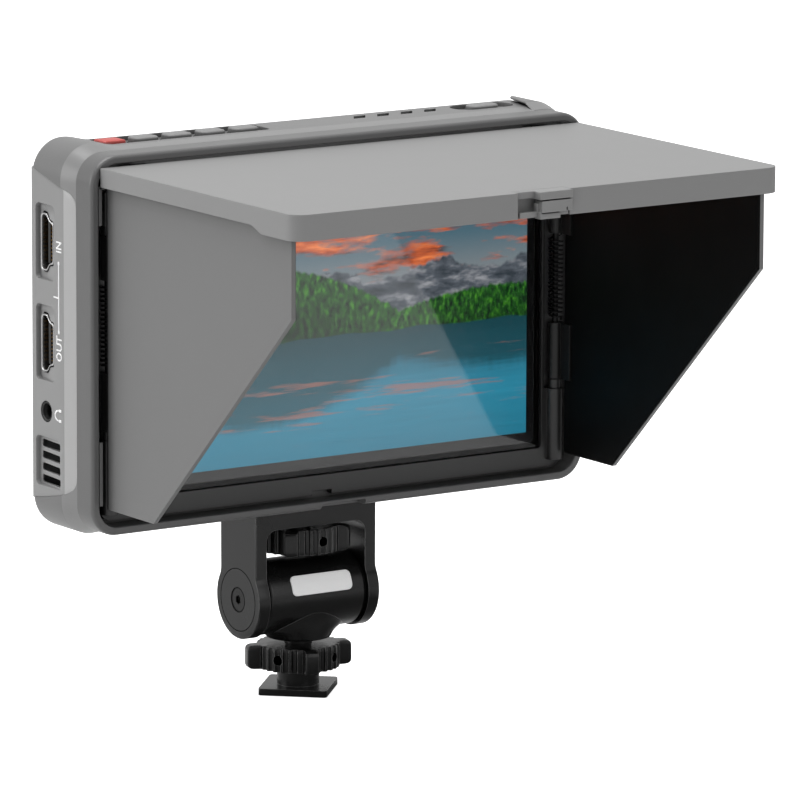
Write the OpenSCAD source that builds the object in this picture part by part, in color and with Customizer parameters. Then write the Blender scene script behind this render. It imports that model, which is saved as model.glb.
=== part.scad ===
// Camera field monitor with a folding sun hood on a tilting shoe mount.
// The origin is the centre of the shoe foot's underside. The screen faces -Y, and +Z is up.

/* [Body] */
// Width of the front rim
body_w = 150.4; // [146:0.2:158]
// Height of the front rim
body_h = 96.8; // [94:0.2:102]
// Depth of the casing without the battery plate
body_d = 27.6; // [26.5:0.2:34]
// Radius of the rim's corners
corner_r = 7.5; // [6:0.5:9]
// Thickness of the casing's walls
wall = 1.8; // [1.6:0.1:2.2]
// Thickness of the front rim round the hood
rim_w = 2.2; // [1.8:0.1:2.4]
// Depth of the front bezel
bezel_d = 7.2; // [6.8:0.2:9]
// How far the corner guards stand out at the sides
guard_side = 1; // [0.4:0.1:2]
// How far the corner guards stand out above and below
guard_top = 1.6; // [0.6:0.1:2.4]
// Length of a corner guard along each edge
guard_l = 7.4; // [6.5:0.1:8.4]
// Depth from the rim to the front of the guards
guard_front = 13.4; // [11:0.2:16]
// How far the side panels stand out
panel_proud = 0.7; // [0.3:0.1:1]

/* [Screen] */
// Border between the rim's side and the picture
side_border = 14.3; // [14:0.1:16.5]
// Border between the rim's top and the picture
top_border = 15.8; // [15.3:0.1:18]
// Height of the picture's lower edge above the casing's underside
picture_z = 12.5; // [12:0.1:13]
// Thickness of the cover glass
glass_t = 1.1; // [0.7:0.1:1.3]
// Border of the glass round the picture
glass_border = 3.4; // [2.8:0.1:3.6]

/* [Hood] */
// Depth of the open hood
hood_d = 89.4; // [84:0.2:90]
// Thickness of the lid's plate
lid_t = 1.6; // [1.2:0.1:2]
// Gap between the lid and the rim's inner faces
lid_gap = 0.3; // [0.25:0.05:0.5]
// Height of the lid's front lip
front_lip = 6.5; // [5:0.1:7]
// Height of the lid's side lips
side_lip = 4.8; // [4.5:0.1:5]
// Thickness of the lid's lips
lip_t = 1.5; // [1.2:0.1:1.6]
// Radius of the lid's front corners
lid_r = 4.5; // [3:0.5:7]
// Thickness of a side flap
flap_t = 1.5; // [1.2:0.1:1.6]
// Reach of a side flap in front of the rim
flap_reach = 84.6; // [80:0.2:84.8]
// Distance of a flap's outer face from the rim's side
flap_inset = 4.6; // [4.5:0.1:4.8]
// Height of a flap's front edge, below the lid
flap_front_h = 21; // [16:0.5:40]
// Length of a flap's lower edge
flap_bottom_l = 21.5; // [16:0.5:40]
// Width of the hood latch
latch_w = 14.6; // [12:0.2:18]
// Travel of the hood latch
latch_travel = 1.2; // [0.8:0.1:1.4]

/* [Flap hinges] */
// Distance of a flap's pin from the rim's side
hinge_in = 6.75; // [6.6:0.05:6.9]
// Depth of a flap's pin behind the rim's front
hinge_y = 3.4; // [3.3:0.05:3.5]
// Diameter of a flap's pin
pin_d = 1.6; // [1.2:0.1:1.8]
// Outer diameter of the hinge spring
spring_d = 4.1; // [3.8:0.1:4.3]
// Diameter of the spring's wire
wire_d = 0.55; // [0.4:0.05:0.6]
// Number of turns in each hinge spring
spring_turns = 18; // [14:1:19]

/* [Tilting mount] */
// Height of the pivot above the foot's underside
pivot_z = 25.9; // [25.2:0.1:28]
// Distance of the pivot from the casing's back
pivot_in = 6.8; // [6.4:0.1:7.6]
// Width of the bracket over its arms
bracket_w = 37.1; // [36:0.1:42]
// Depth of the bracket's arms
bracket_d = 16.8; // [15:0.2:18]
// Thickness of an arm
arm_t = 3.4; // [3:0.1:3.8]
// Radius of an arm's round end
arm_r = 10.3; // [9.6:0.1:10.8]
// Thickness of the bracket's top plate
plate_t = 5.8; // [4.5:0.1:6]
// Radius of the pivot barrel
barrel_r = 9.8; // [9:0.1:10]
// Radius of the thumb wheels at their lobes
wheel_r = 13.3; // [12.5:0.1:13.6]
// Thickness of the upper thumb wheel
wheel_h = 6.6; // [6:0.1:6.8]
// Height of the lock wheel's underside above the foot's underside
lock_z = 6.4; // [6:0.1:7]
// Diameter of the stem
stem_d = 11; // [9:0.2:12]
// Side of the square shoe foot
foot_side = 18; // [17.6:0.1:18.7]
// Thickness of the shoe foot
foot_t = 1.8; // [1.6:0.1:2]
// Turn of the foot against the monitor
foot_turn = 47; // [0:1:90]

/* [Keys] */
// Width of a menu key
key_w = 7.4; // [6.5:0.1:8]
// Depth of a menu key
key_d = 5.6; // [5:0.1:6.4]
// Distance between the menu keys' centres
key_pitch = 10; // [9.4:0.1:10.6]
// Travel of a key
key_travel = 0.5; // [0.3:0.05:0.6]
// Clearance round a key in its hole
key_gap = 0.25; // [0.2:0.05:0.35]

/* [Hidden] */
$fn = 48;
tiny = 0.01;
// Running clearance of pins and shafts, and the gap between faces that slide
run = 0.1;
slide = 0.2;

casing_gray = [0.58, 0.58, 0.58];
panel_gray = [0.66, 0.66, 0.66];
frame_gray = [0.27, 0.27, 0.28];
metal_black = [0.16, 0.16, 0.17];
felt_black = [0.05, 0.05, 0.05];
steel = [0.62, 0.62, 0.63];

// Monitor
mid_x = body_w / 2;
mid_z = body_h / 2;
pivot_back = body_d - pivot_in;
picture_w = body_w - 2 * side_border;
picture_h = body_h - picture_z - top_border;
plate_z = pivot_z + 19;
body_lift = plate_z + plate_t + 1;
pad_t = 1;
inner_rim = rim_w;
web_t = 1.4;
web_y = bezel_d - web_t;
glass_y = web_y - glass_t;
glass_x = mid_x - picture_w / 2 - glass_border;
glass_z = picture_z - glass_border - 0.6;
glass_w = picture_w + 2 * glass_border;
glass_h = picture_h + 2 * glass_border + 1.2;
glass_gap = 0.2;
web_lip = 1;
stack_x = glass_x + web_lip + glass_gap;
stack_z = glass_z + web_lip + glass_gap;
stack_w = glass_w - 2 * (web_lip + glass_gap);
stack_h = glass_h - 2 * (web_lip + glass_gap);
display_t = 1.4;
backlight_t = 2.6;
chassis_t = 1;
tab_r = 6.4;
backlight_y = web_y + slide + display_t;
chassis_y = backlight_y + backlight_t;
post_in = 8.6;
post_r = 2.4;
post_end = body_d - 9.6;
screw_r = 1;
board_t = 1.6;
board_y = body_d - 5;
board_z = 12;
back_y = body_d - wall;
boss_r = 3;
board_boss = [for (x = [20, body_w - 20]) for (z = [board_z + 4, body_h - board_z - 4.8]) [x, z]];
panel_z0 = guard_l;
panel_z1 = body_h - guard_l;
panel_t = 0.85;
panel_gap = 0.1;

// Side sockets
socket_y = board_y - 2.8;
socket_wide = 14.9;
socket_deep = 11.4;
socket_t = 0.5;
socket_zs = [body_h * 0.7521, body_h * 0.4855];
jack_z = body_h * 0.30475;
jack_y = board_y - 2.4;
jack_r = 1.8;
jack_body = 4.8;
power_z = body_h * 0.6;
vent_z = body_h * 0.1694;
vent_rows = 4;

// Keys
key_y = board_y - 2.4;
key_floor = 0.9;
key_top = 0.5;
key_recess_x = [14.2, 63.4];
record_x = 18.6;
record_w = 6;
menu_x = 27.8;
power_x = body_w - 18.8;
vent_pitch = 7.3;
key_posts = [key_recess_x[1] + 6.6, power_x - 19.6];
power_w = 8.8;
flange = 0.6;
flange_t = 0.7;
key_board_z = body_h - 6.6;
key_board_t = 1.2;
key_stem = 2.4;

// Hood
frame_in = 4.5;
frame_y = 3.7;
frame_z0 = 3.1;
frame_z1 = body_h - 6;
rib_w = 0.8;
post_hinge_r = 2.25;
hinge_z0 = 24;
hinge_z1 = body_h - 18;
collar_h = 2.4;
knuckle_low = 14.8;
knuckle_high = 11.2;
knuckle_r = 1.9;
lid_in = inner_rim + lid_gap;
lid_z = body_h - inner_rim - 2 * lid_gap;
lid_rear = -0.3;
lid_axis_y = 1.1;
lid_axis_z = lid_z - lid_axis_y;
lid_pin_r = 0.5;
ear_r = 0.95;
lug_r = 1.15;
lug_x = 12;
lug_w = 4.3;
ear_w = 2.4;
ear_gap = 0.25;
flap_top = lid_z - 5.4;
flap_bottom = 7;
flap_rear = 0.3;
lining_t = 0.3;
lining_in = 0.4;
flap_plate = flap_t - lining_t;
lid_plate = lid_t - lining_t;
latch_x = mid_x - latch_w / 2;
latch_gap = 0.4;
latch_proud = 1.6;

// Mount
arm_in = bracket_w / 2 - arm_t;
cap_r = 8.1;
cap_t = 1.2;
shaft_r = 2.5;
washer_t = 0.45;
barrel_half = arm_in - washer_t - 2 * run;
neck_r = 8.6;
neck_z = 14.4;
wheel_z = plate_z - 0.8 - wheel_h;
lock_h = 6.3;
screw_d = 6.2;
bush_r = 4.8;
bush_h = 7;
thread_reach = 5;
label_w = 18.2;
label_x = 1.2;
label_t = 0.4;
label_arc = 31;
label_tilt = 23;

// Battery plate
bat_w = 40;
bat_h = 62;
bat_z = mid_z - bat_h / 2;
plate_screw_x = bat_w / 2 - 5;
plate_screw_z = bat_h / 2 - 7;
contact_pitch = 9;
contact_z = bat_z + 4;
release_z = bat_z + bat_h - 15;
release_lift = 2.6;
bat_t = 2.4;
rail_h = 2.8;
rail_w = 2.2;

module on_monitor() {
    translate([-mid_x, -pivot_back, body_lift]) children();
}
module along_x(x0, x1) {
    translate([x0, 0, 0]) rotate([90, 0, 90]) linear_extrude(height = x1 - x0) children();
}
module along_y(y0, y1) {
    translate([0, y1, 0]) rotate([90, 0, 0]) linear_extrude(height = y1 - y0) children();
}
// A rectangle from (x, y) with round corners
module round_rect(x, y, w, h, r) {
    translate([x + r, y]) square([w - 2 * r, h]);
    translate([x, y + r]) square([w, h - 2 * r]);
    for (cx = [x + r, x + w - r]) for (cy = [y + r, y + h - r]) translate([cx, cy]) circle(r);
}
module inset_rect(inset, r) {
    round_rect(inset, inset, body_w - 2 * inset, body_h - 2 * inset, r);
}
module block(x, y, z, w, d, h) {
    translate([x, y, z]) cube([w, d, h]);
}
module mirror_x() {
    children();
    translate([body_w, 0, 0]) mirror([1, 0, 0]) children();
}
module post_y(x, z, r, y0, y1) {
    translate([x, y1, z]) rotate([90, 0, 0]) cylinder(r = r, h = y1 - y0);
}
module at_corners(inset) {
    for (x = [inset, body_w - inset]) for (z = [inset, body_h - inset]) translate([x, 0, z]) children();
}

module at_plate_screws() {
    for (x = [-plate_screw_x, plate_screw_x]) for (z = [-plate_screw_z, plate_screw_z])
        translate([mid_x + x, 0, mid_z + z]) children();
}

// Front bezel: the rim that the hood folds into, the web behind the glass and four screw posts.
module front_bezel() color(casing_gray) on_monitor() {
    difference() {
        union() {
            along_y(0, bezel_d) inset_rect(0, corner_r);
            at_corners(post_in) post_y(0, 0, post_r, bezel_d - tiny, post_end);
        }
        along_y(-1, web_y) inset_rect(inner_rim, corner_r - inner_rim);
        along_y(-1, bezel_d + 1)
            round_rect(stack_x - glass_gap, stack_z - glass_gap, stack_w + 2 * glass_gap,
                stack_h + 2 * glass_gap, 1);
        at_corners(post_in) post_y(0, 0, screw_r + run / 2, bezel_d + 2, post_end + 1);
        block(latch_x, -1, -1, latch_w - 1, 1.8, inner_rim + 2);
    }
}

module guard_blocks() {
    for (x = [-2, body_w - guard_l]) for (z = [-3, body_h - guard_l])
        block(x, guard_front, z, guard_l + 2, body_d - guard_front, guard_l + 3);
}
module key_hole(x, w) {
    block(x - w / 2 - key_gap, key_y - key_d / 2 - key_gap, body_h - wall - 1,
        w + 2 * key_gap, key_d + 2 * key_gap, wall + 2);
}
module panel_pocket() {
    block(-3, bezel_d - 1, panel_z0, 3 + panel_t + panel_gap, body_d - bezel_d + 0.6, panel_z1 - panel_z0);
}
// Rear shell: five walls with corner guards, the key recesses, vents and bosses.
module rear_shell() color(casing_gray) on_monitor() {
    difference() {
        union() {
            along_y(bezel_d, body_d) inset_rect(0, corner_r);
            intersection() {
                along_y(guard_front, body_d)
                    round_rect(-guard_side, -guard_top, body_w + 2 * guard_side, body_h + 2 * guard_top,
                        corner_r + 0.7);
                guard_blocks();
            }
        }
        difference() {
            along_y(bezel_d - 1, back_y) inset_rect(wall, corner_r - wall);
            at_corners(post_in) post_y(0, 0, post_r + 0.6, post_end, back_y + tiny);
            for (b = board_boss) post_y(b[0], b[1], boss_r, board_y + board_t, back_y + tiny);
            for (x = key_posts) translate([x, key_y, key_board_z + key_board_t])
                cylinder(r = 2, h = wall * 4);
            block(mid_x - 7, pivot_back - 7, -1, 14, 14, 1 + wall + 3);
        }
        mirror_x() panel_pocket();
        mirror_x() block(-1, 11, 9, 4, 14.4, body_h - 22.4);
        translate([mid_x, pivot_back, -1]) cylinder(r = bush_r + run / 2, h = 12);
        translate([0, 0, body_h - key_floor]) linear_extrude(height = 2)
            round_rect(key_recess_x[0], key_y - 5, key_recess_x[1] - key_recess_x[0], 10, 2);
        translate([0, 0, body_h - key_floor]) linear_extrude(height = 2)
            round_rect(power_x - 9, key_y - 4.4, 18, 8.8, 4.3);
        key_hole(record_x, record_w);
        for (i = [0:3]) key_hole(menu_x + i * key_pitch, key_w);
        key_hole(power_x, power_w);
        for (i = [0:3]) translate([power_x - 40.6 + i * vent_pitch, key_y - 1, body_h - 3])
            linear_extrude(height = 5) polygon([[0, 0], [3.6, 0], [6, 3.6], [2.4, 3.6]]);
        at_corners(post_in) {
            post_y(0, 0, screw_r + run, post_end - 1, body_d + 1);
            post_y(0, 0, 2.2, body_d - 2.4, body_d + 1);
        }
        for (b = board_boss) post_y(b[0], b[1], screw_r - 0.05, board_y, board_y + board_t + 2.2);
        at_plate_screws() post_y(0, 0, screw_r - 0.05, back_y - 1, body_d + 1);
        block(mid_x - contact_pitch - 4, back_y - 1, contact_z - 2, 2 * contact_pitch + 8, wall + 2, 8);
    }
}

// A side panel's outline seen from above: the long chamfer in front, then the flat face.
module panel_outline() {
    polygon([[0.35, bezel_d + panel_gap], [-panel_proud, bezel_d + 5.2], [-panel_proud, body_d - 0.5],
        [panel_t, body_d - 0.5], [panel_t, bezel_d + panel_gap]]);
}
module panel_plate() {
    translate([0, 0, panel_z0 + panel_gap])
        linear_extrude(height = panel_z1 - panel_z0 - 2 * panel_gap) panel_outline();
}
module side_recess(y, z, d, h) {
    translate([-panel_proud - 1, 0, 0]) along_x(0, 1.6) round_rect(y - d / 2, z - h / 2, d, h, 1.4);
}
module vent_slots() {
    for (i = [0:vent_rows - 1]) along_x(-3, 4)
        round_rect(socket_y - 3.7, vent_z + (i - (vent_rows - 1) / 2) * 3, 8, 1.7, 0.5);
}
module side_panel_left() color(panel_gray) on_monitor() {
    difference() {
        panel_plate();
        for (z = socket_zs) {
            side_recess(socket_y + 1.5, z, 9, 19.6);
            block(-3, socket_y - 2.8 - slide, z - socket_wide / 2 - slide, 6, 5.6 + 2 * slide,
                socket_wide + 2 * slide);
        }
        translate([-3, jack_y, jack_z]) rotate([0, 90, 0]) cylinder(r = 2.75, h = 6);
        side_recess(socket_y + 0.4, vent_z + 0.8, 11.6, 14);
        vent_slots();
    }
}
module side_panel_right() color(panel_gray) on_monitor() {
    difference() {
        translate([body_w, 0, 0]) mirror([1, 0, 0]) difference() {
            panel_plate();
            side_recess(socket_y + 0.4, vent_z + 0.8, 11.6, 14);
            vent_slots();
        }
        translate([body_w - 3, jack_y, power_z]) rotate([0, 90, 0]) cylinder(r = 3.3, h = 6);
    }
}

// Cover glass, display, backlight and the metal chassis behind them.
module screen_glass() color([0.1, 0.1, 0.11, 0.6]) on_monitor()
    along_y(glass_y, web_y) round_rect(glass_x, glass_z, glass_w, glass_h, 1);
module display_panel() color([0.16, 0.5, 0.5]) on_monitor()
    block(stack_x, web_y + slide, stack_z, stack_w, display_t, stack_h);
module backlight() color([0.85, 0.86, 0.88]) on_monitor()
    block(stack_x, backlight_y, stack_z, stack_w, backlight_t, stack_h);
module chassis_plate() color(steel) on_monitor() {
    difference() {
        union() {
            block(stack_x, chassis_y, stack_z, stack_w, chassis_t, stack_h);
            at_corners(post_in) post_y(0, 0, tab_r, chassis_y, chassis_y + chassis_t);
        }
        at_corners(post_in) post_y(0, 0, post_r + run, chassis_y - 1, chassis_y + chassis_t + 1);
        for (x = [-1:1]) along_y(chassis_y - 1, chassis_y + chassis_t + 1)
            round_rect(mid_x + x * picture_w * 0.29 - 12, mid_z - 20, 24, 34, 4);
    }
}

// Electronics: the board with its chips and screws, and the key board.
module main_board() color([0.05, 0.25, 0.15]) on_monitor() {
    difference() {
        block(8, board_y, board_z, body_w - 16, board_t, body_h - 2 * board_z);
        for (b = board_boss) post_y(b[0], b[1], screw_r + run, board_y - 1, board_y + board_t + 1);
    }
    block(mid_x - 21, board_y - 1.6, mid_z - 4, 16, 1.6, 16);
    block(mid_x + 11, board_y - 1.2, mid_z + 4, 10, 1.2, 12);
    block(mid_x + 25, board_y - 2.4, mid_z - 18, 8, 2.4, 8);
    block(mid_x - 37, board_y - 1, mid_z + 17, 12, 1, 8);
}
module board_screws() color(steel) on_monitor()
    for (b = board_boss) {
        post_y(b[0], b[1], 1.9, board_y - 1.4, board_y);
        post_y(b[0], b[1], screw_r - 0.1, board_y - 0.1, board_y + board_t + 2);
    }
module key_board() color([0.05, 0.25, 0.15]) on_monitor()
    block(12, key_y - 5, key_board_z, body_w - 24, 10, key_board_t);

// A key's cap stands in its hole, with a flange below the wall and a stem over its switch.
module key_body(x, w, r, gray) {
    color(gray) on_monitor() {
        translate([0, 0, body_h - wall - tiny]) linear_extrude(height = wall + key_top)
            round_rect(x - w / 2, key_y - key_d / 2, w, key_d, r);
        block(x - w / 2 - flange, key_y - key_d / 2 - flange, body_h - wall - slide - flange_t,
            w + 2 * flange, key_d + 2 * flange, flange_t);
        block(x - w / 2, key_y - key_d / 2, body_h - wall - slide - tiny, w, key_d, slide + 2 * tiny);
        key_stem(x);
    }
}
module key_stem(x) {
    stem_z = key_board_z + key_board_t + key_travel + 0.1;
    block(x - key_stem / 2, key_y - key_stem / 2, stem_z, key_stem, key_stem,
        body_h - wall - slide - flange_t + tiny - stem_z);
}
module record_key() key_body(record_x, record_w, 0.8, [0.84, 0.33, 0.3]);
module menu_key_1() key_body(menu_x, key_w, 2, panel_gray);
module menu_key_2() key_body(menu_x + key_pitch, key_w, 2, panel_gray);
module menu_key_3() key_body(menu_x + 2 * key_pitch, key_w, 2, panel_gray);
module menu_key_4() key_body(menu_x + 3 * key_pitch, key_w, 2, panel_gray);
module power_key() key_body(power_x, power_w, key_d / 2 - 0.1, panel_gray);

// Side sockets. The video sockets narrow towards the front.
module socket_outline(grow) {
    w = socket_wide / 2 + grow;
    d = 2.8 + grow;
    polygon([[d, -w], [d, w], [-d + 2.2, w], [-d, w - 1.9], [-d, -w + 1.9], [-d + 2.2, -w]]);
}
module video_socket(z) color(steel) on_monitor() {
    translate([0, socket_y, z]) difference() {
        along_x(-panel_proud + 0.2, socket_deep) socket_outline(0);
        along_x(-2, socket_deep - 1) socket_outline(-socket_t);
    }
}
module video_socket_in() video_socket(socket_zs[0]);
module video_socket_out() video_socket(socket_zs[1]);
module socket_tongues() color(felt_black) on_monitor()
    for (z = socket_zs) block(1, socket_y - 0.2, z - 5.6, socket_deep - 2, 1.2, 11.2);
module headphone_jack() color(metal_black) on_monitor() {
    difference() {
        union() {
            block(1.2, jack_y - jack_body / 2, jack_z - 3, 12, jack_body, 6);
            translate([-panel_proud + 0.1, jack_y, jack_z]) rotate([0, 90, 0]) cylinder(r = 2.6, h = 3);
        }
        translate([-3, jack_y, jack_z]) rotate([0, 90, 0]) cylinder(r = jack_r, h = 15);
    }
}
module power_socket() color(metal_black) on_monitor() {
    difference() {
        union() {
            block(body_w - 13, jack_y - jack_body / 2, power_z - 4, 11.6, jack_body, 8);
            translate([body_w - 3, jack_y, power_z]) rotate([0, 90, 0])
                cylinder(r = 3.1, h = 3 + panel_proud - 0.1);
        }
        translate([body_w - 11, jack_y, power_z]) rotate([0, 90, 0]) cylinder(r = 2.2, h = 14);
    }
    translate([body_w - 11.1, jack_y, power_z]) rotate([0, 90, 0]) cylinder(r = 0.6, h = 9);
}

module case_screws() color(steel) on_monitor()
    at_corners(post_in) {
        post_y(0, 0, 2, body_d - 2.4, body_d - 0.8);
        post_y(0, 0, screw_r - 0.05, bezel_d + 4, body_d - 2.3);
    }
module mount_bush() color([0.72, 0.6, 0.35]) on_monitor() {
    translate([mid_x, pivot_back, 0]) difference() {
        cylinder(r = bush_r, h = bush_h);
        translate([0, 0, -1]) cylinder(r = screw_d / 2 + run, h = bush_h + 2);
    }
}

// Battery plate with rails, contacts and a sprung release.
module battery_plate() color(metal_black) on_monitor() {
    bx = mid_x - bat_w / 2;
    difference() {
        union() {
            along_y(body_d, body_d + bat_t) round_rect(bx, bat_z, bat_w, bat_h, 2);
            for (x = [bx, bx + bat_w - rail_w]) {
                block(x, body_d + bat_t - tiny, bat_z + 8, rail_w, rail_h, bat_h - 22);
            }
            for (x = [bx, bx + bat_w - rail_w - 1.4]) for (z = [bat_z + 8, bat_z + 26])
                block(x, body_d + bat_t + rail_h - 1.2, z, rail_w + 1.4, 1.2, 9);
        }
        at_plate_screws() {
            post_y(0, 0, screw_r + run, body_d - 1, body_d + bat_t + 1);
            post_y(0, 0, 2, body_d + 1.2, body_d + bat_t + 1);
        }
        block(mid_x - 5.2, body_d - 1, release_z, 10.4, bat_t + 2, 12);
        block(mid_x - 6.6, body_d - 1, release_z, 13.2, 1 + bat_t / 2 + run, 12);
        for (x = [-1:1]) block(mid_x + x * contact_pitch - 1, body_d - 1, contact_z, 2, bat_t + 2, 5);
    }
}
module plate_screws() color(steel) on_monitor()
    at_plate_screws() {
        post_y(0, 0, 1.8, body_d + 1.2, body_d + bat_t - 0.1);
        post_y(0, 0, screw_r - 0.1, back_y, body_d + 1.3);
    }
module battery_contacts() color([0.8, 0.66, 0.3]) on_monitor()
    for (x = [-1:1]) block(mid_x + x * contact_pitch - 0.8, board_y + board_t, contact_z + 0.4, 1.6,
        body_d - board_y + rail_h - 0.4, 4.2);
module battery_release() color(casing_gray) on_monitor() {
    block(mid_x - 5, body_d + run, release_z + release_lift, 10, bat_t - run, 9);
    block(mid_x - 6.3, body_d + run, release_z + release_lift, 12.6, bat_t / 2 - run, 9);
    block(mid_x - 4, body_d + bat_t - tiny, release_z + release_lift + 1, 8, 1.6, 3);
}
module release_spring() color(steel) on_monitor()
    translate([mid_x, body_d + bat_t / 2, release_z]) cylinder(r = 0.9, h = release_lift - slide);

// Hinge frame: carries the flaps' pins in posts at its sides and the lid's pins in lugs above.
module hinge_frame() color(frame_gray) on_monitor() {
    difference() {
        union() {
            difference() {
                along_y(frame_y, web_y)
                    round_rect(frame_in, frame_z0, body_w - 2 * frame_in, frame_z1 - frame_z0, 3.5);
                along_y(frame_y - 1, web_y + 1)
                    round_rect(glass_x - glass_gap, glass_z - glass_gap, glass_w + 2 * glass_gap,
                        glass_h + 2 * glass_gap, 1.2);
                mirror_x() block(0, 0, hinge_z0, glass_x - glass_gap - rib_w, 8, hinge_z1 - hinge_z0);
                block(latch_x + 0.4, 0, 0, 6, 8, frame_z0 + 1.2);
            }
            mirror_x() {
                hinge_post(frame_z0 + 2, hinge_z0, post_hinge_r);
                hinge_post(hinge_z1, flap_top - 1.2, post_hinge_r);
                hinge_post(hinge_z0 - tiny, hinge_z0 + collar_h, knuckle_r - 0.2);
                hinge_post(hinge_z1 - collar_h, hinge_z1 + tiny, knuckle_r - 0.2);
                along_x(lug_x, lug_x + lug_w) {
                    translate([lid_axis_y, lid_axis_z]) circle(lug_r);
                    polygon([[lid_axis_y, lid_axis_z - lug_r], [frame_y + 0.2, frame_z1 - 2],
                        [web_y, frame_z1 - 2], [web_y, frame_z1 + 1], [lid_axis_y + 1, lid_axis_z + 0.9]]);
                }
            }
        }
        mirror_x() hinge_post(hinge_z0 - 10, hinge_z1 + 6, pin_d / 2 + run / 2);
        mirror_x() along_x(lug_x - 1, lug_x + lug_w + 1)
            translate([lid_axis_y, lid_axis_z]) circle(lid_pin_r + run / 2);
    }
}
module hinge_post(z0, z1, r) {
    translate([hinge_in, hinge_y, z0]) cylinder(r = r, h = z1 - z0);
}
module flap_pins() color(steel) on_monitor()
    mirror_x() hinge_post(hinge_z0 - 10, hinge_z1 + 6, pin_d / 2);
module lid_pins() color(steel) on_monitor()
    mirror_x() along_x(lug_x - ear_gap - ear_w, lug_x + lug_w + ear_gap + ear_w)
        translate([lid_axis_y, lid_axis_z]) circle(lid_pin_r);

// Hinge springs: one unbroken wire each, with a short straight end at both knuckles.
coil_r = (spring_d - wire_d) / 2;
coil_z0 = hinge_z0 + collar_h + slide + knuckle_low + slide;
coil_z1 = hinge_z1 - collar_h - slide - knuckle_high - slide;
coil_steps = 8 * spring_turns;
wire_sides = 6;
coil_pitch = (coil_z1 - coil_z0 - 2 * wire_d - 2 * wire_d) / spring_turns;
function coil_point(i, hand) = [coil_r * cos(45 * i), hand * coil_r * sin(45 * i),
    coil_z0 + 2 * wire_d + coil_pitch * i / 8];
function coil_path(hand) = concat([[coil_r, 0, coil_z0], [coil_r, 0, coil_z0 + wire_d]],
    [for (i = [1:coil_steps - 1]) coil_point(i, hand)],
    [[coil_r, 0, coil_z1 - wire_d], [coil_r, 0, coil_z1]]);
function unit(v) = v / norm(v);
function path_way(p, i) = i < 2 || i > len(p) - 3 ? [0, 0, 1] : unit(p[i + 1] - p[i - 1]);
function ring(p, i, r) = let (t = path_way(p, i), out = unit([p[i][0], p[i][1], 0]),
    a = unit(out - (out * t) * t), b = cross(t, a))
    [for (k = [0:wire_sides - 1]) p[i] + r * (cos(60 * k) * a + sin(60 * k) * b)];
module wound_wire(hand) {
    p = coil_path(hand);
    n = len(p);
    s = wire_sides;
    points = [for (i = [0:n - 1]) each ring(p, i, wire_d / 2)];
    sides = [for (i = [0:n - 2]) for (k = [0:s - 1]) let (m = (k + 1) % s)
        each [[i * s + k, (i + 1) * s + k, (i + 1) * s + m], [i * s + k, (i + 1) * s + m, i * s + m]]];
    ends = [[for (k = [0:s - 1]) k], [for (k = [0:s - 1]) (n - 1) * s + s - 1 - k]];
    polyhedron(points, concat(sides, ends));
}
module flap_spring_left() color(steel) on_monitor()
    translate([hinge_in, hinge_y, 0]) wound_wire(1);
module flap_spring_right() color(steel) on_monitor()
    translate([body_w - hinge_in, hinge_y, 0]) wound_wire(-1);
// The least gap of a coil to itself is measured between points one turn apart.
spring_gap = min([for (i = [1:coil_steps - 9])
    norm(coil_point(i + 8, 1) - coil_point(i, 1))]) - wire_d;
echo(spring_gap = spring_gap);

// Lid: a plate with lips on three sides, ears for its pins and a bay for the latch.
module lid_outline(inset) {
    w = body_w - 2 * lid_in;
    difference() {
        round_rect(lid_in + inset, -hood_d + inset, w - 2 * inset, hood_d + 10, lid_r - inset * 0.6);
        translate([0, lid_rear - inset]) square([body_w, 30]);
    }
}
module hood_lid() color(casing_gray) on_monitor() {
    difference() {
        union() {
            translate([0, 0, lid_z - lid_plate]) linear_extrude(height = lid_plate) lid_outline(0);
            difference() {
                translate([0, 0, lid_z - front_lip]) linear_extrude(height = front_lip - tiny)
                    lid_outline(0);
                translate([0, 0, lid_z - front_lip - 1]) linear_extrude(height = front_lip + 2)
                    lid_outline(lip_t);
                block(lid_in + lip_t, lid_rear - lip_t - 1, lid_z - 20,
                    body_w - 2 * (lid_in + lip_t), 10, 40);
                translate([0, 0, lid_z - 20]) along_x(-1, body_w + 1)
                    polygon([[-hood_d + 12.5, 20 - front_lip - 1], [-hood_d + 19.5, 20 - side_lip],
                        [5, 20 - side_lip], [5, 20 - front_lip - 1]]);
            }
            mirror_x() for (x = [lug_x - ear_gap - ear_w, lug_x + lug_w + ear_gap]) along_x(x, x + ear_w) {
                translate([lid_axis_y, lid_axis_z]) circle(ear_r);
                polygon([[-3, lid_axis_z - 0.9], [lid_axis_y, lid_axis_z - ear_r],
                    [lid_axis_y, lid_axis_z + 0.9], [-3, lid_axis_z + 0.9]]);
            }
            latch_housing();
        }
        mirror_x() along_x(lug_x - 5, lug_x + lug_w + 5)
            translate([lid_axis_y, lid_axis_z]) circle(lid_pin_r + run);
        block(latch_x - latch_gap, -hood_d - 1, lid_z - front_lip - 1, latch_w + 2 * latch_gap,
            lip_t + latch_travel + 1.4, front_lip + 2);
    }
}
latch_tongue_z = lid_z - lid_t - 2.2;
module latch_housing() {
    for (x = [latch_x - latch_gap - 1.2, latch_x + latch_w + latch_gap])
        block(x, -hood_d + lip_t - tiny, latch_tongue_z - 0.4, 1.2, 8, lid_t + 2.2);
    block(latch_x - 1, -hood_d + 12.4, latch_tongue_z, latch_w + 2, 1.2, 2.2 + lid_t - tiny);
    block(latch_x - latch_gap - 1.2, -hood_d + 6, latch_tongue_z - 0.8,
        latch_w + 2 * latch_gap + 2.4, 3, 0.8);
}
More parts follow.
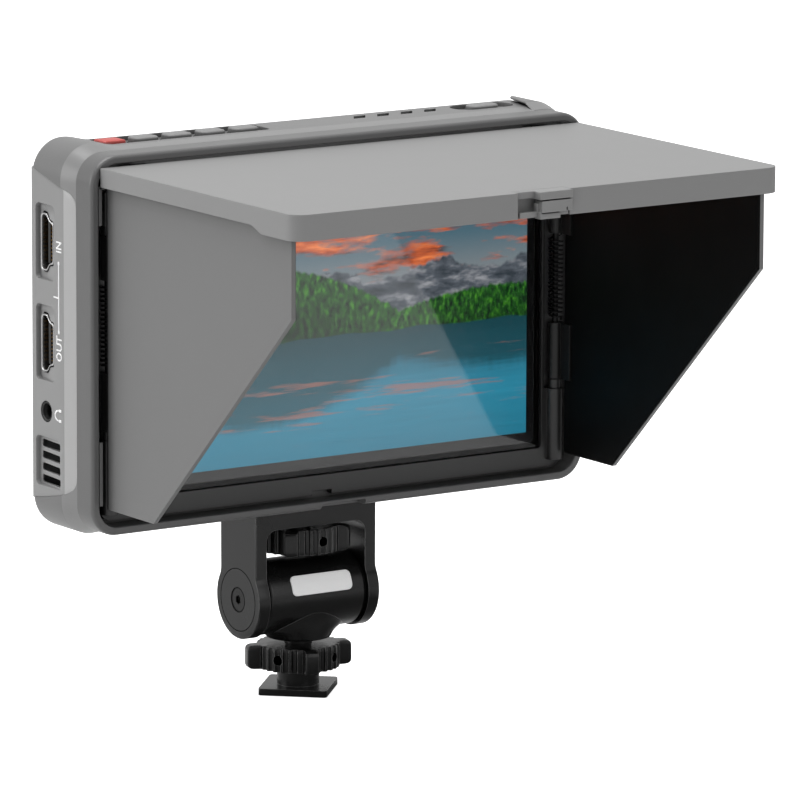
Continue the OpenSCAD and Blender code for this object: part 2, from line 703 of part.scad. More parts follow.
module lid_lining() color(felt_black) on_monitor() {
    difference() {
        translate([0, 0, lid_z - lid_t]) linear_extrude(height = lining_t) difference() {
            lid_outline(lip_t + lining_in);
            translate([0, -5]) square([body_w, 10]);
        }
        block(latch_x - 2, -hood_d, lid_z - 10, latch_w + 4, 15, 20);
    }
}
// The latch slides out towards the front. Its tongue runs back below the plate to its spring.
module hood_latch() color(casing_gray) on_monitor() {
    y0 = -hood_d;
    difference() {
        union() {
            block(latch_x + 3.6, y0 - latch_proud, lid_z - 5.9, latch_w - 3.6, latch_proud + lip_t, 5.8);
            block(latch_x, y0 - 0.2, lid_z - front_lip + 0.2, latch_w, lip_t + 0.2, front_lip - 2.2);
            block(latch_x + 1, y0, latch_tongue_z + 0.2, latch_w - 2, 9, 1.4);
            block(latch_x + 4, y0 - 1.2, lid_z - front_lip - 0.6, 6, 2, 1.2);
        }
        for (z = [lid_z - 2.2, lid_z - 5.1])
            block(latch_x + 3, y0 - latch_proud - 1, z, latch_w - 4, 1.9, 0.4);
    }
}
module latch_spring() color(steel) on_monitor()
    translate([mid_x, -hood_d + 12.4, latch_tongue_z + 0.95]) rotate([90, 0, 0]) cylinder(r = 0.7, h = 3.2);

// A flap is a plate with a slanted lower front corner and two knuckles on its pin.
module flap_outline(inset) {
    front = -flap_reach + inset;
    top = flap_top - inset;
    low = flap_bottom + inset;
    polygon([[flap_rear - inset, low], [-flap_bottom_l, low], [front, flap_top - flap_front_h + inset * 0.4],
        [front, top], [flap_rear - inset, top]]);
}
knuckle_z = [hinge_z0 + collar_h + slide, hinge_z1 - collar_h - slide - knuckle_high];
knuckle_h = [knuckle_low, knuckle_high];
module flap_shell() {
    difference() {
        union() {
            along_x(flap_inset, flap_inset + flap_plate) flap_outline(0);
            for (i = [0, 1]) {
                translate([hinge_in, hinge_y, knuckle_z[i]]) cylinder(r = knuckle_r, h = knuckle_h[i]);
                block(flap_inset + 0.3, -1, knuckle_z[i], 1.4, hinge_y + 1, knuckle_h[i]);
                block(flap_inset + flap_plate - tiny, -3, knuckle_z[i], lining_t + 0.6, 3 + flap_rear,
                    knuckle_h[i]);
            }
        }
        hinge_post(knuckle_z[0] - 1, knuckle_z[1] + knuckle_high + 1, pin_d / 2 + run);
    }
}
module flap_lining() {
    difference() {
        along_x(flap_inset + flap_plate, flap_inset + flap_t) flap_outline(lining_in);
        block(flap_inset, -3.2, knuckle_z[0] - 0.2, 5, 5, knuckle_low + 0.4);
        block(flap_inset, -3.2, knuckle_z[1] - 0.2, 5, 5, knuckle_high + 0.4);
    }
}
module flap_left() color(casing_gray) on_monitor() flap_shell();
module flap_left_lining() color(felt_black) on_monitor() flap_lining();
module flap_right() color(casing_gray) on_monitor() translate([body_w, 0, 0]) mirror([1, 0, 0]) flap_shell();
module flap_right_lining() color(felt_black) on_monitor()
    translate([body_w, 0, 0]) mirror([1, 0, 0]) flap_lining();

// Tilting bracket: a top plate with two arms that end round the pivot.
module tilt_bracket() color(metal_black) {
    translate([0, 0, pivot_z]) difference() {
        union() {
            along_x(-bracket_w / 2, bracket_w / 2) {
                circle(arm_r);
                translate([-bracket_d / 2, 0]) square([bracket_d, plate_z - pivot_z + plate_t]);
            }
        }
        along_y(-20, 20) round_rect(-arm_in, -30, 2 * arm_in, 30 + plate_z - pivot_z, 3);
        for (side = [-1, 1]) translate([side * bracket_w / 2, 0, 0]) rotate([0, 90, 0])
            cylinder(r = cap_r + run / 2, h = 2 * cap_t, center = true);
        translate([-40, 0, 0]) rotate([0, 90, 0]) cylinder(r = shaft_r + run / 2, h = 80);
        cylinder(r = screw_d / 2 + 2 * run, h = 60);
    }
}
module bracket_pad() color(felt_black) {
    translate([0, 0, plate_z + plate_t]) difference() {
        linear_extrude(height = pad_t)
            round_rect(-bracket_w / 2 + 0.8, -bracket_d / 2 + 0.8, bracket_w - 1.6, bracket_d - 1.6, 2);
        translate([0, 0, -1]) cylinder(r = screw_d / 2 + 2 * run, h = 4);
    }
}
// Half of what lies along the pivot, mirrored for the other side
module both_ends() {
    translate([0, 0, pivot_z]) for (side = [0, 1]) mirror([side, 0, 0]) children();
}
module rod_x(x0, x1, r) {
    translate([x0, 0, 0]) rotate([0, 90, 0]) cylinder(r = r, h = x1 - x0);
}
head_r = 3.1;
head_t = 1.6;
module pivot_caps() color(metal_black) both_ends() difference() {
    rod_x(bracket_w / 2 - cap_t, bracket_w / 2, cap_r);
    rod_x(bracket_w / 2 - cap_t - 1, bracket_w / 2 + 1, head_r + run);
}
module pivot_screws() color(metal_black) both_ends() difference() {
    union() {
        rod_x(bracket_w / 2 - cap_t, bracket_w / 2 - 0.1, head_r);
        rod_x(bracket_w / 2 - cap_t - 6, bracket_w / 2 - cap_t + tiny, 1.5);
    }
    rod_x(bracket_w / 2 - 0.9, bracket_w / 2 + 1, 1.25, $fn = 6);
}
module pivot_shaft() color(steel) translate([0, 0, pivot_z]) difference() {
    rod_x(-bracket_w / 2 + cap_t, bracket_w / 2 - cap_t, shaft_r);
    for (side = [0, 1]) mirror([side, 0, 0]) rod_x(bracket_w / 2 - cap_t - 7, 40, 1.5 + run / 2);
}
module friction_washers() color([0.85, 0.85, 0.82]) both_ends() difference() {
    rod_x(arm_in - run - washer_t, arm_in - run, barrel_r - 1.6);
    rod_x(0, 40, shaft_r + run);
}

// A thumb wheel has four lobes with flutes and one radial hole between each two.
module wheel(h, bore) {
    body_r = wheel_r - 2.4;
    difference() {
        union() {
            cylinder(r = body_r, h = h);
            for (a = [0, 90]) rotate(a) difference() {
                block(-wheel_r, -1.7, 0, 2 * wheel_r, 3.4, h);
                cylinder(r = bore + 0.5, h = 3 * h, center = true);
            }
        }
        translate([0, 0, -1]) cylinder(r = bore, h = h + 2);
        for (a = [0:90:270]) {
            for (k = [-2:2]) rotate(a + 45 + k * 11) translate([body_r + 0.35, 0, -1])
                cylinder(r = 0.75, h = h + 2, $fn = 16);
            rotate(a + 45) translate([bore + 1.6, 0, h / 2]) rotate([0, 90, 0])
                cylinder(r = 1.3, h = wheel_r);
        }
    }
}
thumb_turn = 48.9;
lock_turn = 72.7;
module thumb_wheel() color(metal_black)
    translate([0, 0, wheel_z]) rotate(thumb_turn) wheel(wheel_h, screw_d / 2 + run / 2);
module mount_screw() color(steel) translate([0, 0, wheel_z])
    cylinder(r = screw_d / 2, h = body_lift - wheel_z + thread_reach);

// Pivot barrel: the cylinder between the arms and the flared neck that stands on the stem.
module pivot_barrel() color(metal_black) difference() {
    union() {
        translate([0, 0, pivot_z]) rod_x(-barrel_half, barrel_half, barrel_r);
        translate([0, 0, neck_z]) cylinder(r = neck_r, h = pivot_z - neck_z);
        along_y(-6.4, 6.4) difference() {
            translate([-neck_r - 4, neck_z + 0.6]) square([2 * neck_r + 8, pivot_z - neck_z - 1]);
            for (side = [-1, 1]) translate([side * (neck_r + 4.4), neck_z + 0.4]) circle(4.4);
        }
    }
    translate([0, 0, pivot_z]) rod_x(-40, 40, shaft_r + run);
    cylinder(r = stem_d / 2 - 2 + run, h = neck_z + 3.6);
}
module label_plate() color([0.93, 0.93, 0.92]) translate([0, 0, pivot_z]) rotate([-label_tilt, 0, 0])
    difference() {
        intersection() {
            rod_x(label_x - label_w / 2, label_x + label_w / 2, barrel_r + label_t);
            half = barrel_r * sin(label_arc / 2);
            along_y(-20, 0) round_rect(label_x - label_w / 2, -half, label_w, 2 * half, 1.3);
        }
        rod_x(-30, 30, barrel_r + 0.02);
    }
module lock_wheel() color(metal_black)
    translate([0, 0, lock_z]) rotate(lock_turn) wheel(lock_h, stem_d / 2 - 2 + run);
// Shoe foot: the square plate, the thick lower stem and the thinner end in the neck.
module shoe_foot() color(metal_black) {
    rotate(foot_turn) linear_extrude(height = foot_t)
        round_rect(-foot_side / 2, -foot_side / 2, foot_side, foot_side, 1);
    translate([0, 0, foot_t - tiny]) cylinder(r = stem_d / 2, h = lock_z - foot_t - slide);
    translate([0, 0, foot_t]) cylinder(r = stem_d / 2 - 2, h = neck_z + 3.2 - foot_t);
}

front_bezel();
rear_shell();
side_panel_left();
side_panel_right();
screen_glass();
display_panel();
backlight();
chassis_plate();
main_board();
board_screws();
key_board();
record_key();
menu_key_1();
menu_key_2();
menu_key_3();
menu_key_4();
power_key();
video_socket_in();
video_socket_out();
socket_tongues();
headphone_jack();
power_socket();
case_screws();
mount_bush();
battery_plate();
plate_screws();
battery_contacts();
battery_release();
release_spring();
hinge_frame();
lid_pins();
flap_pins();
flap_spring_left();
flap_spring_right();
hood_lid();
lid_lining();
hood_latch();
latch_spring();
flap_left();
flap_left_lining();
flap_right();
flap_right_lining();
tilt_bracket();
bracket_pad();
pivot_caps();
pivot_screws();
pivot_shaft();
friction_washers();
thumb_wheel();
mount_screw();
pivot_barrel();
label_plate();
lock_wheel();
shoe_foot();
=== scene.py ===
import bpy, bmesh, math
import numpy as np
from mathutils import Matrix, Vector


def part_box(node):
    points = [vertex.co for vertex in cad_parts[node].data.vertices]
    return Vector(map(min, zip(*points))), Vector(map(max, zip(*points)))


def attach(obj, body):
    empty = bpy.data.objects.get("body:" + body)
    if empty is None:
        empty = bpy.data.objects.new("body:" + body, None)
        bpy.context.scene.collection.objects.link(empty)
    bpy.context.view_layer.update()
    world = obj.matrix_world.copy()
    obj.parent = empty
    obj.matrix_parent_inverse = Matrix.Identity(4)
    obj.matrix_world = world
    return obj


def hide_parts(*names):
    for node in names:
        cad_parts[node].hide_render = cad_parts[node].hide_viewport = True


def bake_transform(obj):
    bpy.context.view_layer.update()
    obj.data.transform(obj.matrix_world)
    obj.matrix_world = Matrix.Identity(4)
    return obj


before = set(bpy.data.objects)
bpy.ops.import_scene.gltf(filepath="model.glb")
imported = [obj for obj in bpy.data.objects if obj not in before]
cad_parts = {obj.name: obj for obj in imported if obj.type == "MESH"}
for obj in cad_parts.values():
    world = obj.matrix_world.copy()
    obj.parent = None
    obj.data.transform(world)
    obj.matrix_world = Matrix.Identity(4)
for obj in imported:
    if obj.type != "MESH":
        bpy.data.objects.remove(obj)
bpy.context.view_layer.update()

bezelLow = np.array(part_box("front_bezel")[0])  # the casing's points count from here
print("stage: frame loaded,", len(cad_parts), "nodes")

# helpers for objects, shader nodes and materials
def linked(name, data):
    obj = bpy.data.objects.new(name, data)
    bpy.context.scene.collection.objects.link(obj)
    return obj

def put(tree, kind, links=(), **settings):
    # a shader node, its settings or socket values, and the links into it
    node = tree.nodes.new("ShaderNode" + kind)
    for key, value in settings.items():
        if hasattr(node, key):
            setattr(node, key, value)
        else:
            node.inputs[key].default_value = value
    for source, socket in links:
        tree.links.new(source, node.inputs[socket])
    return node

def mathNode(tree, operation, a, b=None, clamp=False):
    node = put(tree, "Math", operation=operation, use_clamp=clamp)
    for i, value in enumerate((a, b)):
        if isinstance(value, (int, float)):
            node.inputs[i].default_value = value
        elif value is not None:
            tree.links.new(value, node.inputs[i])
    return node.outputs[0]

def mixColors(tree, factor, a, b, blend="MIX"):
    node = put(tree, "Mix", data_type="RGBA", blend_type=blend)
    for i, value in ((0, factor), (6, a), (7, b)):
        if isinstance(value, (int, float, tuple)):
            node.inputs[i].default_value = value
        else:
            tree.links.new(value, node.inputs[i])
    return node.outputs[2]

def newMaterial(name, constants):
    # constants stand directly on the shader's own sockets
    mat = bpy.data.materials.new(name)
    mat.use_nodes = True
    shade = mat.node_tree.nodes["Principled BSDF"]
    for socket, value in constants.items():
        shade.inputs[socket].default_value = value
    return mat, mat.node_tree, shade

# camera, light and floor
view = {"place": (-1.0881, -1.6725, 0.4456), "azimuth": 33.80, "elevation": 10.48, "roll": 0.204, "lens": 353.8}
studio = {"world": 0.2, "glossy": 0.6, "floorGlow": 0.95, "floorReach": 9, "floorGray": 0.86, "aim": (0, 0, 0.1)}
lamps = {  # soft rectangles turned to the object, in metres and watts
    "topSoftbox": {"place": (-0.15, 0.1, 1.5), "size": (1.3, 1.3), "power": 21.5},
    "leftSoftbox": {"place": (-1.15, 0.62, 0.38), "size": (0.8, 0.75), "power": 4.5},
    "frontSoftbox": {"place": (0.35, -1.9, 0.9), "size": (1.2, 1.2), "power": 3.8},
}

def addCamera():
    az, el, ro = (math.radians(view[k]) for k in ("azimuth", "elevation", "roll"))
    ahead = Vector((math.sin(az) * math.cos(el), math.cos(az) * math.cos(el), -math.sin(el)))
    side = Vector((math.cos(az), -math.sin(az), 0))
    up = side.cross(ahead)
    rolledSide = math.cos(ro) * side + math.sin(ro) * up
    rolledUp = math.cos(ro) * up - math.sin(ro) * side
    cam = bpy.data.cameras.new("camera")
    cam.lens, cam.sensor_width, cam.clip_start = view["lens"], 36, 0.05
    obj = linked("camera", cam)
    obj.matrix_world = Matrix((rolledSide, rolledUp, -ahead)).transposed().to_4x4()
    obj.location = view["place"]
    bpy.context.scene.camera = obj

def addLamp(name, s):
    lamp = bpy.data.lights.new(name, "AREA")
    lamp.shape, lamp.size, lamp.size_y = "RECTANGLE", s["size"][0], s["size"][1]
    lamp.energy = s["power"]
    obj = linked(name, lamp)
    obj.location = s["place"]
    obj.rotation_euler = (Vector(studio["aim"]) - Vector(s["place"])).to_track_quat("-Z", "Y").to_euler()

def whiteWorld():
    # soft light on the surfaces; white where the camera or glass looks, and dimmed white in reflections
    world = bpy.data.worlds.new("studio")
    bpy.context.scene.world = world
    world.use_nodes = True
    tree = world.node_tree
    tree.nodes.clear()
    path = put(tree, "LightPath").outputs
    seen = mathNode(tree, "MAXIMUM", path["Is Camera Ray"], path["Is Transmission Ray"])
    white = mathNode(tree, "MAXIMUM", seen, mathNode(tree, "MULTIPLY", path["Is Glossy Ray"], studio["glossy"]))
    soft = put(tree, "Background", Color=(1, 1, 1, 1), Strength=studio["world"])
    bright = put(tree, "Background", Color=(1, 1, 1, 1))
    mix = put(tree, "MixShader", [(white, 0), (soft.outputs[0], 1), (bright.outputs[0], 2)])
    put(tree, "OutputWorld", [(mix.outputs[0], 0)])

def addFloor():
    # one flat square, with a glow that only the camera sees
    far, level = studio["floorReach"], studio["floorGray"]
    mesh = bpy.data.meshes.new("floor")
    mesh.from_pydata([(-far, -far, 0), (far, -far, 0), (far, far, 0), (-far, far, 0)], [], [(0, 1, 2, 3)])
    mat, tree, shade = newMaterial("paleFloor",
        {"Base Color": (level, level, level, 1), "Roughness": 0.9, "Specular IOR Level": 0.1})
    strength = mathNode(tree, "MULTIPLY", put(tree, "LightPath").outputs["Is Camera Ray"], studio["floorGlow"])
    glow = put(tree, "Emission", [(strength, "Strength")])
    both = put(tree, "AddShader", [(shade.outputs[0], 0), (glow.outputs[0], 1)])
    tree.links.new(both.outputs[0], tree.nodes["Material Output"].inputs["Surface"])
    mesh.materials.append(mat)
    linked("floor", mesh)

bpy.context.scene.view_settings.view_transform = "Standard"
addCamera()
whiteWorld()
addFloor()
for name, s in lamps.items():
    addLamp(name, s)
print("stage: camera, light and floor")

# shader groups, built once and placed in each material
def newGroup(name, inputs, outputs):
    tree = bpy.data.node_groups.new(name, "ShaderNodeTree")
    for label, value in inputs:
        tree.interface.new_socket(label, in_out="INPUT", socket_type="NodeSocketFloat").default_value = value
    for label, kind in outputs:
        tree.interface.new_socket(label, in_out="OUTPUT", socket_type="NodeSocket" + kind)
    return tree, tree.nodes.new("NodeGroupInput").outputs, tree.nodes.new("NodeGroupOutput").inputs

def groupGrain():
    # height = fine noise; tone = 1 + variation * (broad noise - 0.5); cloud = the broad noise
    tree, given, out = newGroup("mouldedGrain", [("Grain", 3000.0), ("Cloud", 40.0), ("Variation", 0.06)],
        [("Height", "Float"), ("Tone", "Float"), ("Cloud", "Float")])
    where = put(tree, "TexCoord").outputs["Object"]
    fine = put(tree, "TexNoise", [(where, "Vector"), (given["Grain"], "Scale")], Detail=3.0, Roughness=0.6)
    broad = put(tree, "TexNoise", [(where, "Vector"), (given["Cloud"], "Scale")], Detail=4.0, Roughness=0.55)
    off = mathNode(tree, "SUBTRACT", broad.outputs[0], 0.5)
    tone = mathNode(tree, "ADD", mathNode(tree, "MULTIPLY", off, given["Variation"]), 1.0)
    tree.links.new(fine.outputs[0], out["Height"])
    tree.links.new(tone, out["Tone"])
    tree.links.new(broad.outputs[0], out["Cloud"])
    return tree

def groupEdge():
    # normal = the normal of rounded edges; highlight = width * how far that turns from the face's own, up to 1, the
    # mask of a painted highlight on edges
    tree, given, out = newGroup("softEdge", [("Radius", 0.0003), ("Width", 6.0)],
        [("Normal", "Vector"), ("Highlight", "Float")])
    bevel = put(tree, "Bevel", [(given["Radius"], "Radius")], samples=4).outputs[0]
    own = put(tree, "NewGeometry").outputs["Normal"]
    dot = put(tree, "VectorMath", [(bevel, 0), (own, 1)], operation="DOT_PRODUCT").outputs["Value"]
    wear = mathNode(tree, "MULTIPLY", mathNode(tree, "SUBTRACT", 1.0, dot), given["Width"], True)
    tree.links.new(bevel, out["Normal"])
    tree.links.new(wear, out["Highlight"])
    return tree

def groupHollowShade():
    # painted shade in hollows, creases and gaps, darkening the colour where shade falls: shade = 1 - depth * (1 -
    # openness) ^ 0.8, openness from rays within a few millimetres
    tree, given, out = newGroup("hollowShade", [("Reach", 0.004), ("Depth", 0.8)], [("Shade", "Float")])
    near = put(tree, "AmbientOcclusion", [(given["Reach"], "Distance")], samples=4)
    closed = mathNode(tree, "POWER", mathNode(tree, "SUBTRACT", 1.0, near.outputs["AO"], True), 0.8)
    shade = mathNode(tree, "SUBTRACT", 1.0, mathNode(tree, "MULTIPLY", closed, given["Depth"]), True)
    tree.links.new(shade, out["Shade"])
    return tree

groups = {"grain": groupGrain(), "edge": groupEdge(), "hollowShade": groupHollowShade()}

def addGroup(tree, which, **values):
    node = tree.nodes.new("ShaderNodeGroup")
    node.node_tree = groups[which]
    for key, value in values.items():
        node.inputs[key].default_value = value
    return node.outputs

def linear(level):
    # screen level 0..1 to linear light
    return level / 12.92 if level <= 0.04045 else ((level + 0.055) / 1.055) ** 2.4

def rgb(r, g, b):
    return (linear(r), linear(g), linear(b), 1)

def gray(level):
    return rgb(level, level, level)

# what every finish has unless it says otherwise: grain and cloud are noise scales, vary is how far the tone drifts,
# radius and reach are metres, wear is the width of the painted highlight on edges, hollowShade is how dark the painted
# shade in hollows gets
usual = dict(rough=0.4, metal=0.0, shine=0.5, grain=3000, bump=0.03, cloud=60, vary=0.05,
    radius=0.0003, wear=3.0, reach=0.004, hollowShade=0.75)
# band = first and last depth (part y in metres) and the gain of a painted highlight between them; ahead = the gain
# before the first, a painted shade where below zero
# edge is the colour of the painted highlight on rounded edges
finishes = {
    "casingGray": dict(color=gray(0.47), edge=gray(0.62), rough=0.34, grain=2600, bump=0.08, cloud=35,
        reach=0.0012, hollowShade=0.7, band=(-0.0135, -0.0079, 0.35), ahead=-0.24),
    "lidGray": dict(color=gray(0.58), edge=gray(0.68), rough=0.46, grain=2600, bump=0.08, cloud=18,
        radius=0.0005, hollowShade=0.6),
    "flapGray": dict(color=gray(0.485), edge=gray(0.62), rough=0.42, grain=2600, bump=0.06, cloud=18,
        shadeBehind=-0.0212, shadeInside=0.06943),
    "panelGray": dict(color=gray(0.60), edge=gray(0.78), rough=0.34, grain=2600, bump=0.06, cloud=35,
        reach=0.0012, hollowShade=0.8, band=(-0.0136, -0.00908, 0.55)),
    "keyGray": dict(color=gray(0.56), edge=gray(0.68), rough=0.55, grain=3500, bump=0.08, cloud=90),
    "keyRed": dict(color=rgb(0.80, 0.30, 0.27), edge=rgb(0.85, 0.62, 0.62), rough=0.35, grain=3500, bump=0.06, cloud=90,
        vary=0.06, radius=0.0006, wear=5.0, hollowShade=0.3),
    # the hinge frame's grey, darkened as painted shade under the hood
    "frameGrayShaded": dict(color=gray(0.25), edge=gray(0.38), rough=0.32, grain=2600, bump=0.05, cloud=30, vary=0.06,
        reach=0.008, hollowShade=1.0),
    "blackLining": dict(color=gray(0.025), edge=gray(0.05), rough=0.6, grain=1800, bump=0.08, vary=0.2, shine=0.2),
    "darkPlastic": dict(color=gray(0.11), edge=gray(0.2), rough=0.45, grain=2600, bump=0.1, cloud=40, vary=0.1),
    "blackMetal": dict(color=gray(0.14), edge=gray(0.72), rough=0.25, metal=0.4, grain=2200, bump=0.14, vary=0.15,
        wear=9.0, radius=0.00018),
    "blackRubber": dict(color=gray(0.1), edge=gray(0.15), rough=0.75, grain=1600, bump=0.3, vary=0.15),
    "brightSteel": dict(color=gray(0.75), edge=gray(0.88), rough=0.25, metal=1.0, cloud=90, vary=0.1),
    # near-black steel, its own colour; on the flap springs in the hood the near black is also painted shade
    "darkSteelAndShade": dict(color=gray(0.08), edge=gray(0.2), rough=0.35, metal=0.5, cloud=90, vary=0.1),
    "brass": dict(color=rgb(0.8, 0.66, 0.4), edge=rgb(0.9, 0.8, 0.6), rough=0.3, metal=1.0, cloud=90, vary=0.1),
    # glow paints light: the finish gives off its own colour, so a part that no lamp lights enough reads brighter
    "labelWhite": dict(color=gray(0.98), edge=gray(0.98), bump=0.02, vary=0.02, hollowShade=0.0, glow=0.28),
    "inkBlack": dict(color=gray(0.02), edge=gray(0.03), rough=0.6, bump=0.02, vary=0.02, shine=0.1),
    # a paler copy of the frame's grey, painted light on the lit parts of the frame's face
    "frameGrayLit": dict(color=gray(0.46), edge=gray(0.6), grain=2600, bump=0.05, cloud=30, hollowShade=0.0),
    "printWhite": dict(color=gray(0.98), edge=gray(0.98), rough=0.5, bump=0.02, vary=0.02, hollowShade=0.0, glow=0.3),
    "contactGold": dict(color=rgb(0.6, 0.45, 0.22), edge=rgb(0.8, 0.65, 0.4), rough=0.3, metal=0.6, cloud=90,
        vary=0.1, glow=0.05),
    "boardGreen": dict(color=rgb(0.1, 0.32, 0.2), edge=rgb(0.2, 0.4, 0.3), grain=1200, bump=0.15, cloud=200, vary=0.25),
    "palePlastic": dict(color=gray(0.85), edge=gray(0.9), bump=0.05, vary=0.04),
}
# painted shade on the flaps: its colour and how fast it sets in at the hinge end
hingeEndShade = {"color": gray(0.09), "fade": 4000}  # fade is how fast the dark end sets in, per metre

def makeFinish(name, own):
    # base color = toned color, a painted highlight on the edges mixed in, times the painted hollow shade, then the
    # piece's own painted shade at the hinge end or its band of painted light and shade
    s = {**usual, **own}
    constants = {"Metallic": s["metal"], "Specular IOR Level": s["shine"]}
    # painted glow: the finish gives off its own colour as light, though it is no lamp
    if "glow" in s:
        constants.update({"Emission Color": s["color"], "Emission Strength": s["glow"]})
    mat, tree, shade = newMaterial(name, constants)
    m = lambda operation, a, b=None, clamp=False: mathNode(tree, operation, a, b, clamp)
    grain = addGroup(tree, "grain", Grain=s["grain"], Cloud=s["cloud"], Variation=s["vary"])
    edge = addGroup(tree, "edge", Radius=s["radius"], Width=s["wear"])
    # painted shade: the colour darkens in hollows and gaps
    hollowShade = addGroup(tree, "hollowShade", Reach=s["reach"], Depth=s["hollowShade"])
    toned = mixColors(tree, 1.0, s["color"], grain["Tone"], "MULTIPLY")
    # painted highlight: rounded edges are mixed towards the edge colour, varied by the cloud noise
    edgeHighlight = m("MULTIPLY", edge["Highlight"], m("ADD", grain["Cloud"], 0.3), True)
    dressed = mixColors(tree, 1.0, mixColors(tree, edgeHighlight, toned, s["edge"]), hollowShade["Shade"], "MULTIPLY")
    place = put(tree, "SeparateXYZ", [(put(tree, "TexCoord").outputs["Object"], 0)]).outputs
    if "shadeBehind" in s:
        # painted shade: the hinge end, behind a depth or nearer the middle than a width, is painted near black where
        # shade falls inside the hood
        behind = m("MULTIPLY", m("SUBTRACT", place[1], s["shadeBehind"]), hingeEndShade["fade"], True)
        inside = m("LESS_THAN", m("ABSOLUTE", place[0]), s["shadeInside"])
        dressed = mixColors(tree, m("MAXIMUM", behind, inside), dressed, hingeEndShade["color"])
    if "band" in s:
        # painted light: a slanted band between two depths is painted lighter, and before the first depth a gain below
        # zero paints shade
        first, last, gain = s["band"]
        inBand = m("MULTIPLY", m("GREATER_THAN", place[1], first), m("LESS_THAN", place[1], last))
        ahead = m("MULTIPLY", m("LESS_THAN", place[1], first), s.get("ahead", 0.0))
        lift = m("ADD", m("ADD", m("MULTIPLY", inBand, gain), ahead), 1.0)
        dressed = mixColors(tree, 1.0, dressed, lift, "MULTIPLY")
    tree.links.new(dressed, shade.inputs["Base Color"])
    drift = 0.16  # how far the roughness drifts with the cloud
    tree.links.new(m("ADD", m("MULTIPLY", grain["Cloud"], drift), s["rough"] - drift / 2), shade.inputs["Roughness"])
    bump = put(tree, "Bump", [(grain["Height"], "Height"), (edge["Normal"], "Normal")], Strength=s["bump"], Distance=0.0002)
    tree.links.new(bump.outputs[0], shade.inputs["Normal"])
    return mat

def coverGlass():
    mat, tree, shade = newMaterial("coverGlass", {"Base Color": (1, 1, 1, 1), "Transmission Weight": 1.0, "IOR": 1.45})
    grain = addGroup(tree, "grain", Grain=900.0, Cloud=25.0, Variation=0.0)
    tree.links.new(mathNode(tree, "MULTIPLY", grain["Cloud"], 0.05), shade.inputs["Roughness"])
    return mat

materials = {name: makeFinish(name, s) for name, s in finishes.items()}
materials["coverGlass"] = coverGlass()

worn = {  # which CAD nodes wear which finish
    "casingGray": ["front_bezel", "rear_shell", "hood_latch", "battery_release"],
    "lidGray": ["hood_lid"],
    "flapGray": ["flap_left", "flap_right"],
    "panelGray": ["side_panel_left", "side_panel_right"],
    "keyGray": ["menu_key_1", "menu_key_2", "menu_key_3", "menu_key_4", "power_key"],
    "keyRed": ["record_key"],
    "frameGrayShaded": ["hinge_frame"],
    "blackLining": ["lid_lining", "flap_left_lining", "flap_right_lining"],
    "darkPlastic": ["socket_tongues", "headphone_jack", "power_socket", "battery_plate"],
    "blackMetal": ["tilt_bracket", "pivot_caps", "thumb_wheel", "pivot_barrel", "lock_wheel", "shoe_foot"],
    "blackRubber": ["bracket_pad"],
    "brightSteel": ["video_socket_in", "video_socket_out", "chassis_plate", "board_screws", "case_screws", "plate_screws",
        "mount_screw", "pivot_shaft", "release_spring", "latch_spring"],
    "darkSteelAndShade": ["flap_pins", "lid_pins", "flap_spring_left", "flap_spring_right", "pivot_screws"],
    "brass": ["mount_bush", "battery_contacts"],
    "labelWhite": ["label_plate"],
    "boardGreen": ["main_board", "key_board"],
    "palePlastic": ["friction_washers", "backlight"],
    "coverGlass": ["screen_glass"],
}

def wear(node, finish):
    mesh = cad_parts[node].data
    mesh.materials.clear()
    mesh.materials.append(materials[finish])

for finish, nodes in worn.items():
    for node in nodes:
        wear(node, finish)
print("stage: finishes on the CAD nodes")

# shapes in millimetres: casing points count x from the rim's left, y from its front, z from its underside
def tube(rows):
    # rows of points, each closed to a ring: quads between neighbouring rings and a flat face at both ends
    points = np.array(rows, float)
    index = np.arange(points.shape[0] * points.shape[1]).reshape(points.shape[:2])
    right = np.roll(index, -1, 1)
    quads = np.stack([index[:-1], right[:-1], right[1:], index[1:]], -1).reshape(-1, 4)
    return points, quads.tolist() + [index[0, ::-1].tolist(), index[-1].tolist()]

def outward(mesh):
    # joins double points and turns every face outwards
    bm = bmesh.new()
    bm.from_mesh(mesh)
    bmesh.ops.remove_doubles(bm, verts=bm.verts, dist=1e-7)
    bmesh.ops.recalc_face_normals(bm, faces=bm.faces)
    bm.to_mesh(mesh)
    bm.free()

def sheetObject(name, points, faces, mount=False):
    # casing points start at the bezel's low corner, mount points at the part's origin
    origin = np.zeros(3) if mount else bezelLow
    mesh = bpy.data.meshes.new(name)
    mesh.from_pydata((origin + np.asarray(points, float).reshape(-1, 3) / 1000).tolist(), [], faces)
    outward(mesh)
    return linked(name, mesh)

def applied(obj):
    # the modifiers' result becomes the mesh
    graph = bpy.context.evaluated_depsgraph_get()
    mesh = bpy.data.meshes.new_from_object(obj.evaluated_get(graph))
    obj.modifiers.clear()
    obj.data = mesh
    return obj

def finishPiece(obj, finish, body, nodes=(), sharp=28):
    # the piece's material, its smooth faces with edges sharper than an angle, its body and the nodes it stands for
    obj.data.materials.clear()
    obj.data.materials.append(materials[finish])
    obj.data.polygons.foreach_set("use_smooth", [True] * len(obj.data.polygons))
    obj.data.set_sharp_from_angle(angle=math.radians(sharp))
    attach(obj, body)
    for node in nodes:
        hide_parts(node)
    return obj

def circle(r, steps, center=(0, 0)):
    a = np.linspace(0, 2 * math.pi, steps, endpoint=False)
    return np.stack([center[0] + r * np.cos(a), center[1] + r * np.sin(a)], -1)

